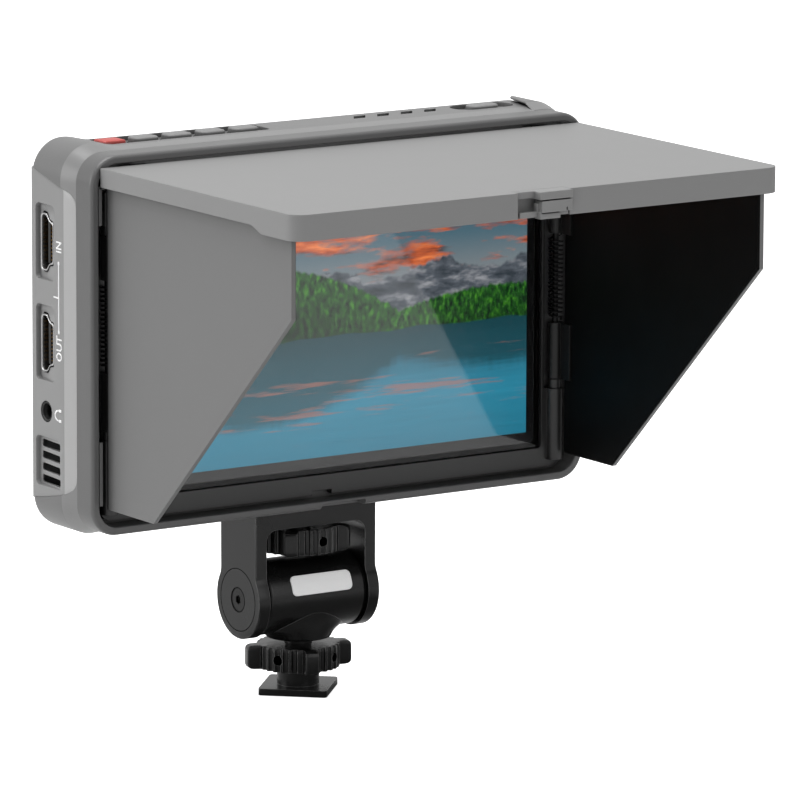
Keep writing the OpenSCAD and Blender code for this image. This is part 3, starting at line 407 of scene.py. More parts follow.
def roundRect(x0, y0, x1, y1, r, n=8):
    # four quarter circles joined in one ring
    turn = np.linspace(0, math.pi / 2, n)
    centers = [(x1 - r, y1 - r), (x0 + r, y1 - r), (x0 + r, y0 + r), (x1 - r, y0 + r)]
    return np.concatenate([np.stack([cx + r * np.cos(turn + k * math.pi / 2), cy + r * np.sin(turn + k * math.pi / 2)], -1)
        for k, (cx, cy) in enumerate(centers)])

def around(x, y, wide, high, r, n=8):
    # a rounded rectangle by its middle and its half sizes
    return roundRect(x - wide, y - high, x + wide, y + high, r, n)

def along(axis, outline, a0, a1, grow=0.0):
    # the outline carried from a0 to a1 along an axis; grow widens its far end
    ring = np.asarray(outline, float)
    away = ring - ring.mean(0)
    away = away / np.maximum(np.linalg.norm(away, axis=1, keepdims=True), 1e-9)
    ends = []
    for a, g in ((a0, 0.0), (a1, grow)):
        flat, full = ring + away * g, np.full((len(ring), 1), float(a))
        first, second = flat[:, :1], flat[:, 1:]
        columns = {"x": (full, first, second), "y": (first, full, second), "z": (first, second, full)}
        ends.append(np.concatenate(columns[axis], 1))
    return tube(ends)

def block(x0, y0, z0, x1, y1, z1):
    # a box between two corners
    return along("z", [(x0, y0), (x1, y0), (x1, y1), (x0, y1)], z0, z1)

def merged(parts):
    # several closed shapes in one list of points and faces
    points, faces, start = [], [], 0
    for p, f in parts:
        p = np.asarray(p, float).reshape(-1, 3)
        points.append(p)
        faces += [[v + start for v in face] for face in f]
        start += len(p)
    return np.concatenate(points), faces

def cutAll(obj, cutters, mount=False, operation="DIFFERENCE"):
    # takes each closed cutter out of the closed piece, or joins it on
    made = []
    for i, (points, faces) in enumerate(cutters):
        tool = sheetObject("cutter%d" % i, points, faces, mount)
        made.append(tool)
        cut = obj.modifiers.new("cut%d" % i, "BOOLEAN")
        cut.operation, cut.solver, cut.object = operation, "MANIFOLD", tool
    applied(obj)
    for tool in made:
        bpy.data.objects.remove(tool)
    return obj

def softPiece(obj, width, segments=3):
    # every edge over 30 degrees is rounded
    soft = obj.modifiers.new("soft", "BEVEL")
    soft.width, soft.segments, soft.limit_method, soft.angle_limit = width / 1000, segments, "ANGLE", math.radians(30)
    return applied(obj)

def strokes(lines, width, place, height=0.035):
    # each step of a line is a flat bar; place turns (across, along, up) into a point
    bars = []
    for line in lines:
        line = np.asarray(line, float)
        for a, b in zip(line[:-1], line[1:]):
            t = (b - a) / max(float(np.linalg.norm(b - a)), 1e-9)
            n = np.array([-t[1], t[0]]) * width / 2
            ring = np.array([a - t * width / 2 - n, b + t * width / 2 - n, b + t * width / 2 + n, a - t * width / 2 + n])
            bars.append(tube([[place(u, v, h) for u, v in ring] for h in (0.0, height)]))
    return merged(bars)

shell = {"width": 150.4, "height": 96.8, "depth": 27.6, "corner": 7.5, "rim": 2.2, "chamfer": 7.3,
    "webFront": 5.8, "webBack": 7.2, "sideRise": 0.55, "guardSide": 1.2, "topRise": 0.25, "guardTop": 1.55,
    "wall": 1.8, "innerBack": 25.8, "innerCorner": 5.7,
    # how far each edge's guards hold their height beyond the arcs, and over what length they fall: top, left, bottom, right
    "guardEnds": [((-3, 1), (0, 8)), ((5.2, 6), (5.2, 6)), ((0, 8), (0, 8)), ((5.2, 6), (5.2, 6))]}

def shellRing():
    # a rounded rectangle as points, outward normals and the weight of the corner guards,
    # 1 on the arcs and for a hold beyond them
    w, h, r = shell["width"], shell["height"], shell["corner"]
    arc = np.linspace(0, math.pi / 2, 25)
    ease = (1 - np.cos(np.linspace(0, math.pi, 64))) / 2
    rows = []
    for k, (cx, cz) in enumerate([(w - r, h - r), (r, h - r), (r, r), (w - r, r)]):
        a = arc + k * math.pi / 2
        n = np.stack([np.cos(a), np.sin(a)], -1)
        # the top right guard falls on its arc already, between 58 and 70 degrees
        guard = np.ones((len(a), 1))
        if k == 0:
            guard = np.clip((math.radians(70) - a[:, None]) / math.radians(12), 0, 1)
        rows.append(np.concatenate([[cx, cz] + r * n, n, guard], 1))
        length = (w if k % 2 == 0 else h) - 2 * r
        n = n[-1]
        t = np.array([-n[1], n[0]])
        travel = ease[1:-1, None] * length
        (hold0, fall0), (hold1, fall1) = shell["guardEnds"][k]
        weight = np.clip(np.maximum(1 - (travel - hold0) / fall0, 1 - (length - travel - hold1) / fall1), 0, 1)
        weight = weight ** 2 * (3 - 2 * weight)
        rows.append(np.concatenate([[cx, cz] + r * n + travel * t, np.repeat(n[None], len(travel), 0), weight], 1))
    return np.concatenate(rows)

def casingBlock():
    # offset from the ring = profile(y) + share(y) * rise
    # rise = side rise * nx^2 + top rise * nz^2, each eased up to the guards' height
    ring = shellRing()
    p, n, g = ring[:, :2], ring[:, 2:4], ring[:, 4:]
    sideRise = shell["sideRise"] + (shell["guardSide"] - shell["sideRise"]) * g
    topRise = shell["topRise"] + (shell["guardTop"] - shell["topRise"]) * g
    rise = n[:, :1] ** 2 * sideRise + n[:, 1:] ** 2 * topRise
    rim, depth, bend = shell["rim"], shell["depth"], shell["chamfer"]
    inner = [(-rim, shell["webFront"], 0), (-rim, 0.5, 0), (-rim + 0.08, 0.16, 0), (-rim + 0.3, 0, 0)]
    edge = [(-0.9 + 0.9 * math.sin(a), 1.1 - 1.1 * math.cos(a), 0) for a in np.linspace(0, math.pi / 2, 13)]
    slant = [(0, bend + 0.01, 0.004), (0, 9.0, 0.30), (0, 11.0, 0.66), (0, 12.6, 0.95), (0, 12.9, 0.985)]
    side = [(0, y, 0) for y in (3.0, 5.0, 6.9, bend)] + slant + [(0, y, 1) for y in (13.4, 18, 22, 25.6)]
    back = [(-0.15, 26.5, 1), (-0.5, 27.15, 1), (-0.95, 27.5, 1), (-1.5, depth, 1), (-6, depth, 0)]
    rows = []
    for offset, y, share in inner + edge + side + back:
        out = n * (offset + share * rise)
        rows.append(np.concatenate([p[:, :1] + out[:, :1], np.full((len(p), 1), y), p[:, 1:] + out[:, 1:]], 1))
    return sheetObject("casingShell", *tube(rows))

wing = {"right": 148.0, "arcX": 142.9, "arcZ": 89.3, "arcR": 7.5, "rise": 1.5, "thick": 0.7, "thin": 0.2, "edgeDrop": 0.25}

def cornerWing():
    # a thin wing on the top right guard: its top follows the guard's arc, its left edge slants back to a tip
    y = np.array([7.6, 9, 10.5, 12, 13.4, 16, 18.5, 21, 22.5, 23.6, 24.3, 24.7])[:, None]
    left = np.interp(y, [7.6, 16.3, 21.5, 23.6, 24.7], [139.2, 141.2, 142.2, 142.9, 144.2])
    r = wing["arcR"] + wing["rise"] * np.clip((y - shell["chamfer"]) / 6.1, 0, 1)
    share = np.linspace(0, 1, 24)[None]
    x = left + (wing["right"] - left) * share
    top = wing["arcZ"] + np.sqrt(r ** 2 - np.clip(x - wing["arcX"], 0, None) ** 2)
    atEdge = (share < 0.02) + 0 * x
    thick = np.where(atEdge, wing["thin"], wing["thick"])
    top = top - wing["edgeDrop"] * atEdge
    y = y + 0 * x
    rows = np.concatenate([np.stack([x, y, top], -1), np.stack([x, y, top - thick], -1)[:, ::-1]], 1)
    finishPiece(sheetObject("cornerWing", *tube(rows)), "casingGray", "monitor")

cornerWing()

grayKey = dict(top=97.75, round=0.75, slot=2.2, finish="keyGray")
keys = {"recordKeyCap": dict(x=17.9, width=6.6, corner=0.7, top=97.6, round=0.3, slot=0.9, finish="keyRed",
    body="record_button", node="record_key")}
keys.update({"menuKeyCap%d" % i: dict(grayKey, x=17.8 + 10 * i, width=7.4, corner=2.0,
    body="menu_button_%d" % i, node="menu_key_%d" % i) for i in range(1, 5)})
keys["powerKeyCap"] = dict(grayKey, x=131.6, width=8.8, corner=2.6, body="power_button", node="power_key")
keyRow = {"front": 17.4, "back": 23.0, "gap": 0.25, "foot": 94.2}

panel = {"plane": -1.02, "thick": 1.5, "soft": 0.14}
panelCurve = {"depth": [7.35, 7.38, 7.5, 7.75, 8.2, 8.9, 9.9, 11.1, 12.4, 14.2, 20, 27.3],
    "low": [14.6, 13.9, 13.1, 12.4, 11.6, 10.9, 10.3, 9.75, 9.3, 8.8, 7.6, 6.4],
    "top": [82.6, 83.3, 84.1, 84.8, 85.5, 86.15, 86.7, 87.1, 87.45, 88.0, 89.5, 91.2]}

def panelEnds(depth):
    # heights of the panel's lower and upper end at each depth: a quick curve at the front, then a slant
    return [np.interp(depth, panelCurve["depth"], panelCurve[end]) for end in ("low", "top")]

recess = {"screen": (12.1, 9.7, 138.3, 83.8), "catch": (68.8, -1.6, 82.4, 1.5), "keys": (14.2, 15.2, 63.4, 25.2),
    "power": (122.6, 15.8, 140.6, 24.6), "mount": (70.2, 15.8, 80.2, 25.8), "battery": (62.2, 19.4, 88.2, 27.4),
    "keyFloor": 95.9, "flare": 0.35, "screwInset": 8.6, "screwR": 2.2, "vents": 4, "ventFirst": 91, "ventPitch": 7.3}

def casingCutters():
    # everything that is hollow in the casing: the inside, the screen, recesses, vents, the panels' seats and the screw holes
    w, h = shell["width"], shell["height"]
    above, behind, wall = h + 3, 28.5, shell["wall"]
    cuts = [along("y", roundRect(wall, wall, w - wall, h - wall, shell["innerCorner"]), shell["webBack"], shell["innerBack"]),
        along("y", roundRect(*recess["screen"], 1.2), 5, 8),
        along("y", roundRect(*recess["catch"], 0.3, 3), -1, 3.6),
        along("z", roundRect(*recess["keys"], 2), recess["keyFloor"], above, recess["flare"]),
        along("z", roundRect(*recess["power"], 4.3), recess["keyFloor"], above, recess["flare"]),
        along("z", roundRect(*recess["mount"], 4.9, 16), -2.8, 6)]
    for s in keys.values():
        half, gap = s["width"] / 2, keyRow["gap"]
        slot = roundRect(s["x"] - half - gap, keyRow["front"] - gap, s["x"] + half + gap, keyRow["back"] + gap, s["slot"])
        cuts.append(along("z", slot, 94, 97))
    for i in range(recess["vents"]):
        x = recess["ventFirst"] + i * recess["ventPitch"]
        cuts.append(along("z", [(x, 19.2), (x + 3.6, 19.2), (x + 6, 22.8), (x + 2.4, 22.8)], 92, above))
    depth = np.array([d for d in panelCurve["depth"] if d != 7.38] + [28.6])
    low, top = panelEnds(depth)
    seat = np.concatenate([np.stack([depth, low], -1), np.stack([depth, top], -1)[::-1]])
    for x, inner, outer in ((0, 0.1, -2.6), (w, w - 0.1, w + 2.6)):
        cuts.append(along("x", seat, inner, outer))
        cuts.append(along("x", roundRect(11.5, 9.8, 25.4, 87.0, 1.5), x - 2.6, x + 2.6))
    inset, r = recess["screwInset"], recess["screwR"]
    for x in (inset, w - inset):
        for z in (inset, h - inset):
            cuts.append(along("y", around(x, z, r, r, r - 0.01, 10), 25.2, behind, 0.15))
    cuts.append(along("y", roundRect(*recess["battery"], 0.5, 3), 25, behind))
    return cuts

casing = finishPiece(cutAll(casingBlock(), casingCutters()), "casingGray", "monitor", ["front_bezel", "rear_shell"], 8.5)
print("stage: casing shell,", len(casing.data.polygons), "faces")

def panelPlate(name, side):
    # each column of points at depth y runs from the lower to the upper end curve;
    # x is flat behind the bend and slants before it
    depth = np.array([7.35, 7.38, 7.5, 7.75, 8.2, 8.9, 9.9, 11.1, 11.6, 11.75, 11.9, 14.2,
        17, 20, 24, 26.6, 27.0, 27.3, 27.5, 27.58])
    out = np.interp(depth, [7.35, 11.6, 11.75, 11.9, 26.6, 27.0, 27.3, 27.5, 27.58],
        [0.0, -0.97, -1.0, panel["plane"], panel["plane"], -0.99, -0.9, -0.72, -0.45])
    low, top = panelEnds(depth)
    z = low + (top - low) * np.linspace(0, 1, 40)[:, None]
    front = np.stack([np.broadcast_to(out, z.shape), np.broadcast_to(depth, z.shape), z], -1)
    back = front + [panel["thick"], 0, 0]
    index = np.arange(z.size).reshape(z.shape)
    quads = np.stack([index[:-1, :-1], index[:-1, 1:], index[1:, 1:], index[1:, :-1]], -1).reshape(-1, 4)
    border = np.concatenate([index[0, :-1], index[:-1, -1], index[-1, :0:-1], index[:0:-1, 0]])
    following = np.roll(border, -1)
    walls = np.stack([border, following, following + z.size, border + z.size], -1)
    points = np.concatenate([front.reshape(-1, 3), back.reshape(-1, 3)])
    if side > 0:
        points[:, 0] = shell["width"] - points[:, 0]
    return sheetObject(name, points, quads.tolist() + (quads[:, ::-1] + z.size).tolist() + walls.tolist())

socket = {"y": 20.0, "z": (72.8, 47.0), "halfWide": 7.4, "halfDeep": 3.1, "wall": 0.5, "lip": 0.35, "pins": 10, "pitch": 1.0}
jack = {"y": 20.3, "z": 29.5, "r": 2.75}
power = {"y": 20.2, "z": 58.08, "r": 3.3}
vent = {"y": 19.0, "z": 16.4, "pitch": 3.05, "halfLong": 5.1, "halfWide": 1.0, "count": 4}

def socketRing(z, grow):
    # a D outline: the rear edge straight, the front corners cut
    y, w, d = socket["y"], socket["halfWide"] + grow, socket["halfDeep"] + grow
    half = np.array([(d, 0), (d, w - 0.9), (d - 0.25, w - 0.25), (d - 0.9, w), (0.9, w), (0.2, w - 0.15), (-0.35, w - 0.75),
        (-0.9, w - 1.5), (-1.6, w - 1.85), (-d + 0.55, w - 2.0), (-d + 0.12, w - 2.35), (-d, w - 3.0)])
    return np.concatenate([half, (half * [1, -1])[:0:-1]]) + [y, z]

def ventCutters(x0, x1):
    # slots above each other, from x0 to x1
    middle = (vent["count"] - 1) / 2
    heights = [vent["z"] + (i - middle) * vent["pitch"] for i in range(vent["count"])]
    return [along("x", around(vent["y"], z, vent["halfLong"], vent["halfWide"], 0.6), x0, x1) for z in heights]

def wedge(y0, z0, y1, z1, deep):
    # a hollow whose floor sinks from the front edge to the rear one: depth = deep * share ^ 0.7
    ends, faces = along("x", roundRect(y0, z0, y1, z1, 1.3), 0, -1.75, 0.5)
    ends[0][:, 0] = panel["plane"] - 0.01 + deep * np.clip((ends[0][:, 1] - y0) / (y1 - y0), 0, 1) ** 0.7
    return ends, faces

def leftCutters():
    cuts = []
    for z in socket["z"]:
        cuts.append(wedge(16.2, z - 9.5, 25.1, z + 9.5, 1.3))
        cuts.append(along("x", socketRing(z, socket["lip"]), 2, -2))
    cuts.append(along("x", around(jack["y"], jack["z"], jack["r"], jack["r"], jack["r"] - 0.01, 12), 2, -2))
    cuts.append(wedge(13.2, 10.3, 25.3, 22.7, 1.2))
    return cuts + ventCutters(2, -2)

def rightCutters():
    w = shell["width"]
    cuts = [along("x", roundRect(13.6, 9.9, 25.6, 23.1, 1.6), w + 0.35, w + 1.6, 0.5),
        along("x", around(power["y"], power["z"], power["r"], power["r"], power["r"] - 0.01, 14), w - 2, w + 2)]
    return cuts + ventCutters(w - 2, w + 2)

for name, side, cuts, node in (("sidePanelLeft", -1, leftCutters(), "side_panel_left"),
        ("sidePanelRight", 1, rightCutters(), "side_panel_right")):
    plate = softPiece(cutAll(panelPlate(name, side), cuts), panel["soft"], 2)
    finishPiece(plate, "panelGray", "monitor", [node], 20)
print("stage: side panels")

def socketShell(name, z, node):
    # a deep cup: the outline goes forward outside, over a rounded lip and back inside
    wall = socket["wall"]
    steps = [(0, 9), (0, -0.6), (-0.05, -0.78), (-0.18, -0.88), (-0.32, -0.88), (-0.45, -0.78), (-wall, -0.6), (-wall, 6)]
    rings = [(socketRing(z, grow), x) for grow, x in steps]
    rows = [np.concatenate([np.full((len(ring), 1), x), ring], 1) for ring, x in rings]
    finishPiece(sheetObject(name, *tube(rows)), "brightSteel", "monitor", [node])

def socketInside(z):
    # a tongue, a floor behind it and two rows of contact pins on the tongue's faces
    y, first = socket["y"] + 0.35, (socket["pins"] - 1) / 2
    tongue = block(0.1, y - 0.55, z - 5.4, 6, y + 0.55, z + 5.4)
    floor = block(5.4, socket["y"] - 2.2, z - 6.7, 5.8, socket["y"] + 2.2, z + 6.7)
    places = [(y + s * 0.66, z + (i - first) * socket["pitch"]) for s in (-1, 1) for i in range(socket["pins"])]
    return [tongue, floor], [block(0.25, py - 0.12, pz - 0.2, 5.4, py + 0.12, pz + 0.2) for py, pz in places]

tongues, pins = [], []
for z, name, node in zip(socket["z"], ("socketShellIn", "socketShellOut"), ("video_socket_in", "video_socket_out")):
    socketShell(name, z, node)
    inside = socketInside(z)
    tongues += inside[0]
    pins += inside[1]
finishPiece(sheetObject("socketTongues", *merged(tongues)), "darkPlastic", "monitor", ["socket_tongues"])
finishPiece(sheetObject("socketPins", *merged(pins)), "contactGold", "monitor")

def jackRing():
    # a turned ring: radius and depth steps round the socket's axis
    steps = [(2.6, 11), (2.62, -0.6), (2.52, -0.85), (2.3, -0.9), (2.1, -0.78), (2.02, -0.5), (1.98, -0.1), (1.85, 0.1),
        (1.8, 0.5), (1.8, 10)]
    rows = [np.concatenate([np.full((40, 1), x), circle(r, 40, (jack["y"], jack["z"]))], 1) for r, x in steps]
    finishPiece(sheetObject("jackRing", *tube(rows)), "darkPlastic", "monitor", ["headphone_jack"])

jackRing()

printed = {"width": 0.38, "dot": 0.7, "dotHigh": 0.03, "near": 12.97, "far": 15.1, "line": 14.15}

def sidePrints():
    # white marks beside the sockets: words for the two directions, a line between them and a headphone sign
    def arc(y, z, ry, rz, a0, a1, n=14):
        return [(y + ry * math.cos(a), z + rz * math.sin(a)) for a in np.radians(np.linspace(a0, a1, n))]
    near, far, line = printed["near"], printed["far"], printed["line"]
    wordIn = [[(near, 72.0), (far, 72.0), (near, 73.6), (far, 73.6)], [(near, 71.2), (far, 71.2)]]
    joining = [[(line, 68.28), (line, 50.69)], [(line, 59.4), (16.4, 59.44)]]
    cup = [(far, 46.05), (13.75, 46.05)] + arc(13.75, 46.85, 0.78, 0.8, 270, 90) + [(far, 47.65)]
    wordOut = [[(far, 48.05), (far, 49.6)], [(far, 48.82), (near, 48.82)], cup, arc(14.04, 44.4, 1.1, 0.9, 0, 360, 20)]
    headphones = [arc(14.35, 29.3, 1.75, 1.3, -80, 80), [(line, 30.6), (13.5, 30.6)], [(line, 28.0), (13.5, 28.0)]]
    dots = [[(line, 68.2), (line, 68.3)], [(line, 50.7), (line, 50.6)],
        [(13.9, 30.6), (13.5, 30.6)], [(13.9, 28.0), (13.5, 28.0)]]
    place = lambda u, v, h: (panel["plane"] - h, u, v)
    both = merged([strokes(wordIn + joining + wordOut + headphones, printed["width"], place),
        strokes(dots, printed["dot"], place, printed["dotHigh"])])
    finishPiece(sheetObject("sidePrints", *both), "printWhite", "monitor")

sidePrints()
print("stage: sockets and prints")

def pillowKey(name, s):
    # rings of a rounded rectangle that shrink as the height rises along a quarter ellipse
    rise = np.linspace(0, 1, 9)[1:]
    x, half, top, inset = s["x"], s["width"] / 2, s["top"], s["round"]
    insets = np.concatenate([[0, 0], inset * (1 - np.sqrt(1 - rise ** 2 * 0.999)), [inset + 0.45, inset + 1.25]])
    heights = np.concatenate([[keyRow["foot"], top - 0.75], top - 0.75 + 0.6 * rise, [top - 0.06, top]])
    rows = []
    for o, z in zip(insets, heights):
        ring = roundRect(x - half + o, keyRow["front"] + o, x + half - o, keyRow["back"] - o, max(s["corner"] - o, 0.25), 7)
        rows.append(np.concatenate([ring, np.full((len(ring), 1), z)], 1))
    finishPiece(sheetObject(name, *tube(rows)), s["finish"], s["body"], [s["node"]], 40)

for name, s in keys.items():
    pillowKey(name, s)
print("stage: keys")

strips = {"left": 2.57, "width": 0.93, "foot": 4.4, "front": 0.5, "back": 1.1,
    "upper": (79.3, 89.1), "lower": (7.9, 24.2), "footHigh": 0.7}

def frameStrips():
    # two pale strips on the hinge frame's face beside the left flap, the upper one with a foot to the right; their
    # paler copy of the frame's grey is painted light on the lit face
    x, y0, y1, (low, top) = strips["left"], strips["front"], strips["back"], strips["upper"]
    parts = [block(x, y0, low, x + strips["width"], y1, top),
        block(x, y0, top - strips["footHigh"], strips["foot"], y1, top),
        block(x, y0, strips["lower"][0], x + strips["width"], y1, strips["lower"][1])]
    finishPiece(softPiece(sheetObject("frameStrips", *merged(parts)), 0.1, 2), "frameGrayLit", "monitor")

latch = {"front": -91.0, "back": -86.35, "top": 94.0, "under": 87.6, "left": 73.1, "right": 82.85,
    "hookUnder": 87.2, "soft": 0.28}

def hoodLatch():
    # the lid holds a top tier and the walls of a notch;
    # the sliding latch is the tier below, with a hook that hangs lower on the left
    front, back, top, under, left, right = (latch[k] for k in ("front", "back", "top", "under", "left", "right"))
    hood = sheetObject("latchHood", *block(left, front, 92.05, right, back, top))
    cutAll(hood, [block(67.55, -86.75, under, right, back, top), block(67.55, -88.3, 92.3, left + 0.2, back, top),
        block(67.55, -88.2, under + 0.1, 68.0, back, 93)], operation="UNION")
    finishPiece(softPiece(hood, latch["soft"]), "lidGray", "lid", (), 30)
    slider = sheetObject("hoodLatch", *block(73.6, front, 88.85, 82.7, -88.0, 91.7))
    hook = block(73.3, front + 0.3, latch["hookUnder"], 79.3, -88.4, 89.0)
    cutAll(slider, [block(left, front + 1.3, 88.7, 82.7, -88.0, 91.0), hook, block(68.15, -89.3, under, 73.5, -88.0, 89.0),
        block(78.9, -89.4, under + 0.1, 82.5, -88.0, 89.0)], operation="UNION")
    cutAll(slider, [block(73.7, front - 1, 88.55, 79.6, front + 1.0, 88.85),
        block(80.9, front - 1, 88.0, 81.35, front + 1.6, 89.8)])
    finishPiece(softPiece(slider, latch["soft"]), "lidGray", "latch", ["hood_latch"], 30)

frameStrips()
hoodLatch()
print("stage: latch")

wheel = {"body": 10.9, "lobeRoot": 10.7, "lobeWide": 3.6, "lobeSoft": 0.5,
    "flute": 0.8, "fluteRing": 11.0, "flutePitch": 12, "holeR": 1.35}
wheels = {"lockWheel": dict(turn=72.7, low=6.4, high=6.3, reach=14.0, bore=3.7, body="lock_ring", node="lock_wheel"),
    "thumbWheel": dict(turn=48.9, low=37.5, high=6.6, reach=13.4, bore=3.2, body="thumb_screw", node="thumb_wheel")}

def wheelOutline(reach):
    # four lobes with rounded ends; between them an arc bitten by five flutes:
    # r = min(body, edge of each flute's circle)
    root, half, soft, flute = wheel["lobeRoot"], wheel["lobeWide"] / 2, wheel["lobeSoft"], wheel["flute"]
    a = np.linspace(0, math.pi / 2, 6)
    lobe = np.concatenate([[[root, -half]], np.stack([reach - soft + soft * np.sin(a), -half + soft - soft * np.cos(a)], -1),
        np.stack([reach - soft + soft * np.cos(a), half - soft + soft * np.sin(a)], -1), [[root, half]]])
    t = np.radians(np.linspace(10.2, 79.8, 140))
    r = np.full(len(t), wheel["body"])
    for k in range(-2, 3):
        off = t - math.radians(45 + k * wheel["flutePitch"])
        side = wheel["fluteRing"] * np.sin(off)
        deep = wheel["fluteRing"] * np.cos(off) - np.sqrt(np.clip(flute ** 2 - side ** 2, 0, None))
        r = np.where(np.abs(side) < flute, np.minimum(r, deep), r)
    quarter = np.concatenate([lobe, np.stack([r * np.cos(t), r * np.sin(t)], -1)])
    quarters = np.arange(4) * math.pi / 2
    return np.concatenate([quarter @ [[math.cos(q), math.sin(q)], [-math.sin(q), math.cos(q)]] for q in quarters])

def thumbWheel(name, s):
    # the outline carried up, its corners rounded more at the lobes' ends; four radial holes and a bore
    high, low, body = s["high"], s["low"], wheel["body"]
    ring = wheelOutline(s["reach"])
    c, sn = math.cos(math.radians(s["turn"])), math.sin(math.radians(s["turn"]))
    radius = np.linalg.norm(ring, axis=1, keepdims=True)
    outer = np.clip((radius - body) / (s["reach"] - body), 0, 1)
    foot = [(1.0, 0), (0.55, 0.12), (0.2, 0.45), (0.04, 0.9), (0, 1.4)]
    rows = []
    for k, z in foot + [(k, high - z) for k, z in foot[::-1]]:
        shrink = 1 - k * (0.25 + 1.25 * outer) / radius
        rows.append(np.concatenate([ring * shrink @ np.array([[c, sn], [-sn, c]]), np.full((len(ring), 1), low + z)], 1))
    obj = sheetObject(name, *tube(rows), True)
    holes = []
    for q in range(4):
        d = math.radians(s["turn"] + 45 + 90 * q)
        out, side = np.array([math.cos(d), math.sin(d), 0]), np.array([-math.sin(d), math.cos(d), 0])
        hole = circle(wheel["holeR"], 20) @ np.array([side, [0, 0, 1]]) + [0, 0, low + high / 2]
        holes.append(tube([hole + out * 5.5, hole + out * 16]))
    holes.append(along("z", circle(s["bore"], 20), low - 1, low + high + 1))
    finishPiece(cutAll(obj, holes, True), "blackMetal", s["body"], [s["node"]], 24)

for name, s in wheels.items():
    thumbWheel(name, s)

pivot = {"z": 25.9, "steps": 96, "barrelEnd": [(-14.4, 9.2), (-14.3, 9.55), (-14.05, 9.75), (-13.7, 9.8)],
    "funnelZ": [14.4, 14.5, 14.75, 15.1, 15.6, 16.1, 16.6, 17.1, 17.7, 18.4, 20.5, 24],
    "funnelWide": [8.1, 8.4, 8.6, 8.85, 9.3, 9.9, 10.7, 11.7, 12.7, 13.4, 14.0, 14.2],
    "funnelDeep": {14.4: 8.1, 14.5: 8.4, 14.75: 8.6, 20: 8.75, 24: 9.2}}

def pivotBarrel():
    # a turned cylinder along x with softened ends, and a funnel of ellipses: half width and half depth by height
    end, steps = pivot["barrelEnd"], pivot["steps"]
    barrel = [np.concatenate([np.full((steps, 1), x), circle(r, steps, (0, pivot["z"]))], 1)
        for x, r in end + [(-x, r) for x, r in end[::-1]]]
    z = np.array(sorted(pivot["funnelZ"] + [19.3, 22]))
    wide = np.interp(z, pivot["funnelZ"], pivot["funnelWide"])
    deep = np.interp(z, list(pivot["funnelDeep"]), list(pivot["funnelDeep"].values()))
    unit = circle(1, steps)
    funnel = np.stack([wide[:, None] * unit[:, 0], deep[:, None] * unit[:, 1], np.repeat(z[:, None], steps, 1)], -1)
    obj = sheetObject("pivotBarrel", *merged([tube(barrel), tube(funnel)]), True)
    finishPiece(obj, "blackMetal", "neck", ["pivot_barrel"], 35)

pivotBarrel()

bracket = {"half": 8.4, "endR": 10.3, "fillet": 5.0, "top": 50.7, "edge": [(-18.55, 0.4), (-18.45, 0.16), (-18.2, 0)],
    "window": (-15.15, 0, 15.15, 44.9), "capR": 8.13, "capFrom": 17.35, "screwR": 3.3, "shrinkTo": (0, 38)}

def tiltBracket():
    # the side outline: straight plate sides, fillets, then the round end; carried across and softened at both ends
    half, r, f, top, mid = bracket["half"], bracket["endR"], bracket["fillet"], bracket["top"], pivot["z"]
    rise = math.sqrt((r + f) ** 2 - (half + f) ** 2)
    turn = math.atan2(rise, half + f)
    a = np.linspace(math.pi, math.pi + turn, 8)
    fillet = np.stack([half + f + f * np.cos(a), mid + rise + f * np.sin(a)], -1)
    b = np.linspace(turn, -math.pi - turn, 80)[1:-1]
    roundEnd = np.stack([r * np.cos(b), mid + r * np.sin(b)], -1)
    ring = np.concatenate([[[half, top]], fillet, roundEnd, (fillet * [-1, 1])[::-1], [[-half, top]]])
    away = ring - bracket["shrinkTo"]
    away = away / np.linalg.norm(away, axis=1, keepdims=True)
    edge = bracket["edge"]
    rows = [np.concatenate([np.full((len(ring), 1), x), ring - away * k], 1)
        for x, k in edge + [(-x, k) for x, k in edge[::-1]]]
    cap = circle(bracket["capR"], 72, (0, mid))
    cuts = [along("y", roundRect(*bracket["window"], 3), -20, 20), along("x", cap, -19.8, -bracket["capFrom"]),
        along("x", cap, bracket["capFrom"], 19.8), along("z", circle(bracket["screwR"], 72), 40, 60)]
    obj = cutAll(sheetObject("tiltBracket", *tube(rows), True), cuts, True)
    finishPiece(obj, "blackMetal", "bracket", ["tilt_bracket"], 24)

tiltBracket()

gaps = {"rings": [(8.17, 73), (3.18, 41)], "width": 0.24, "face": 18.545, "high": 0.03}

def capOutlines():
    # the fine dark gaps round the end caps and their screws: thin rings of short bars on both faces
    rings = [[(r * math.cos(a), pivot["z"] + r * math.sin(a)) for a in np.linspace(0, 2 * math.pi, n)]
        for r, n in gaps["rings"]]
    parts = [strokes(rings, gaps["width"], lambda u, v, h: (side * (gaps["face"] + h), u, v), gaps["high"])
        for side in (-1, 1)]
    finishPiece(sheetObject("capOutlines", *merged(parts), True), "inkBlack", "bracket")

capOutlines()

releaseCoil = {"turns": 4, "coilRadius": 0.68, "wire": 0.16, "reach": 0.0008}

def releaseSpring():
    # a tube of six sides along a helix, its height growing with the angle
    low, high = (np.array(v) * 1000 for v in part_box("release_spring"))
    mid = (low + high) / 2
    turns, wire = releaseCoil["turns"], releaseCoil["wire"]
    t = np.linspace(0, 1, 24 * turns + 1)[:, None]
    turn, side = 2 * math.pi * turns * t, np.linspace(0, 2 * math.pi, 6, endpoint=False)[None, :]
    r = releaseCoil["coilRadius"] + wire * np.cos(side)
    rise = low[2] + wire + (high[2] - low[2] - 2 * wire) * t
    rows = np.stack([mid[0] + r * np.cos(turn), mid[1] + r * np.sin(turn), rise + wire * np.sin(side)], -1)
    obj = sheetObject("releaseSpring", *tube(rows), True)
    obj.data.materials.append(materials["brightSteel"])
    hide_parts("release_spring")
    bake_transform(obj)

releaseSpring()
print("stage: wheels and neck")

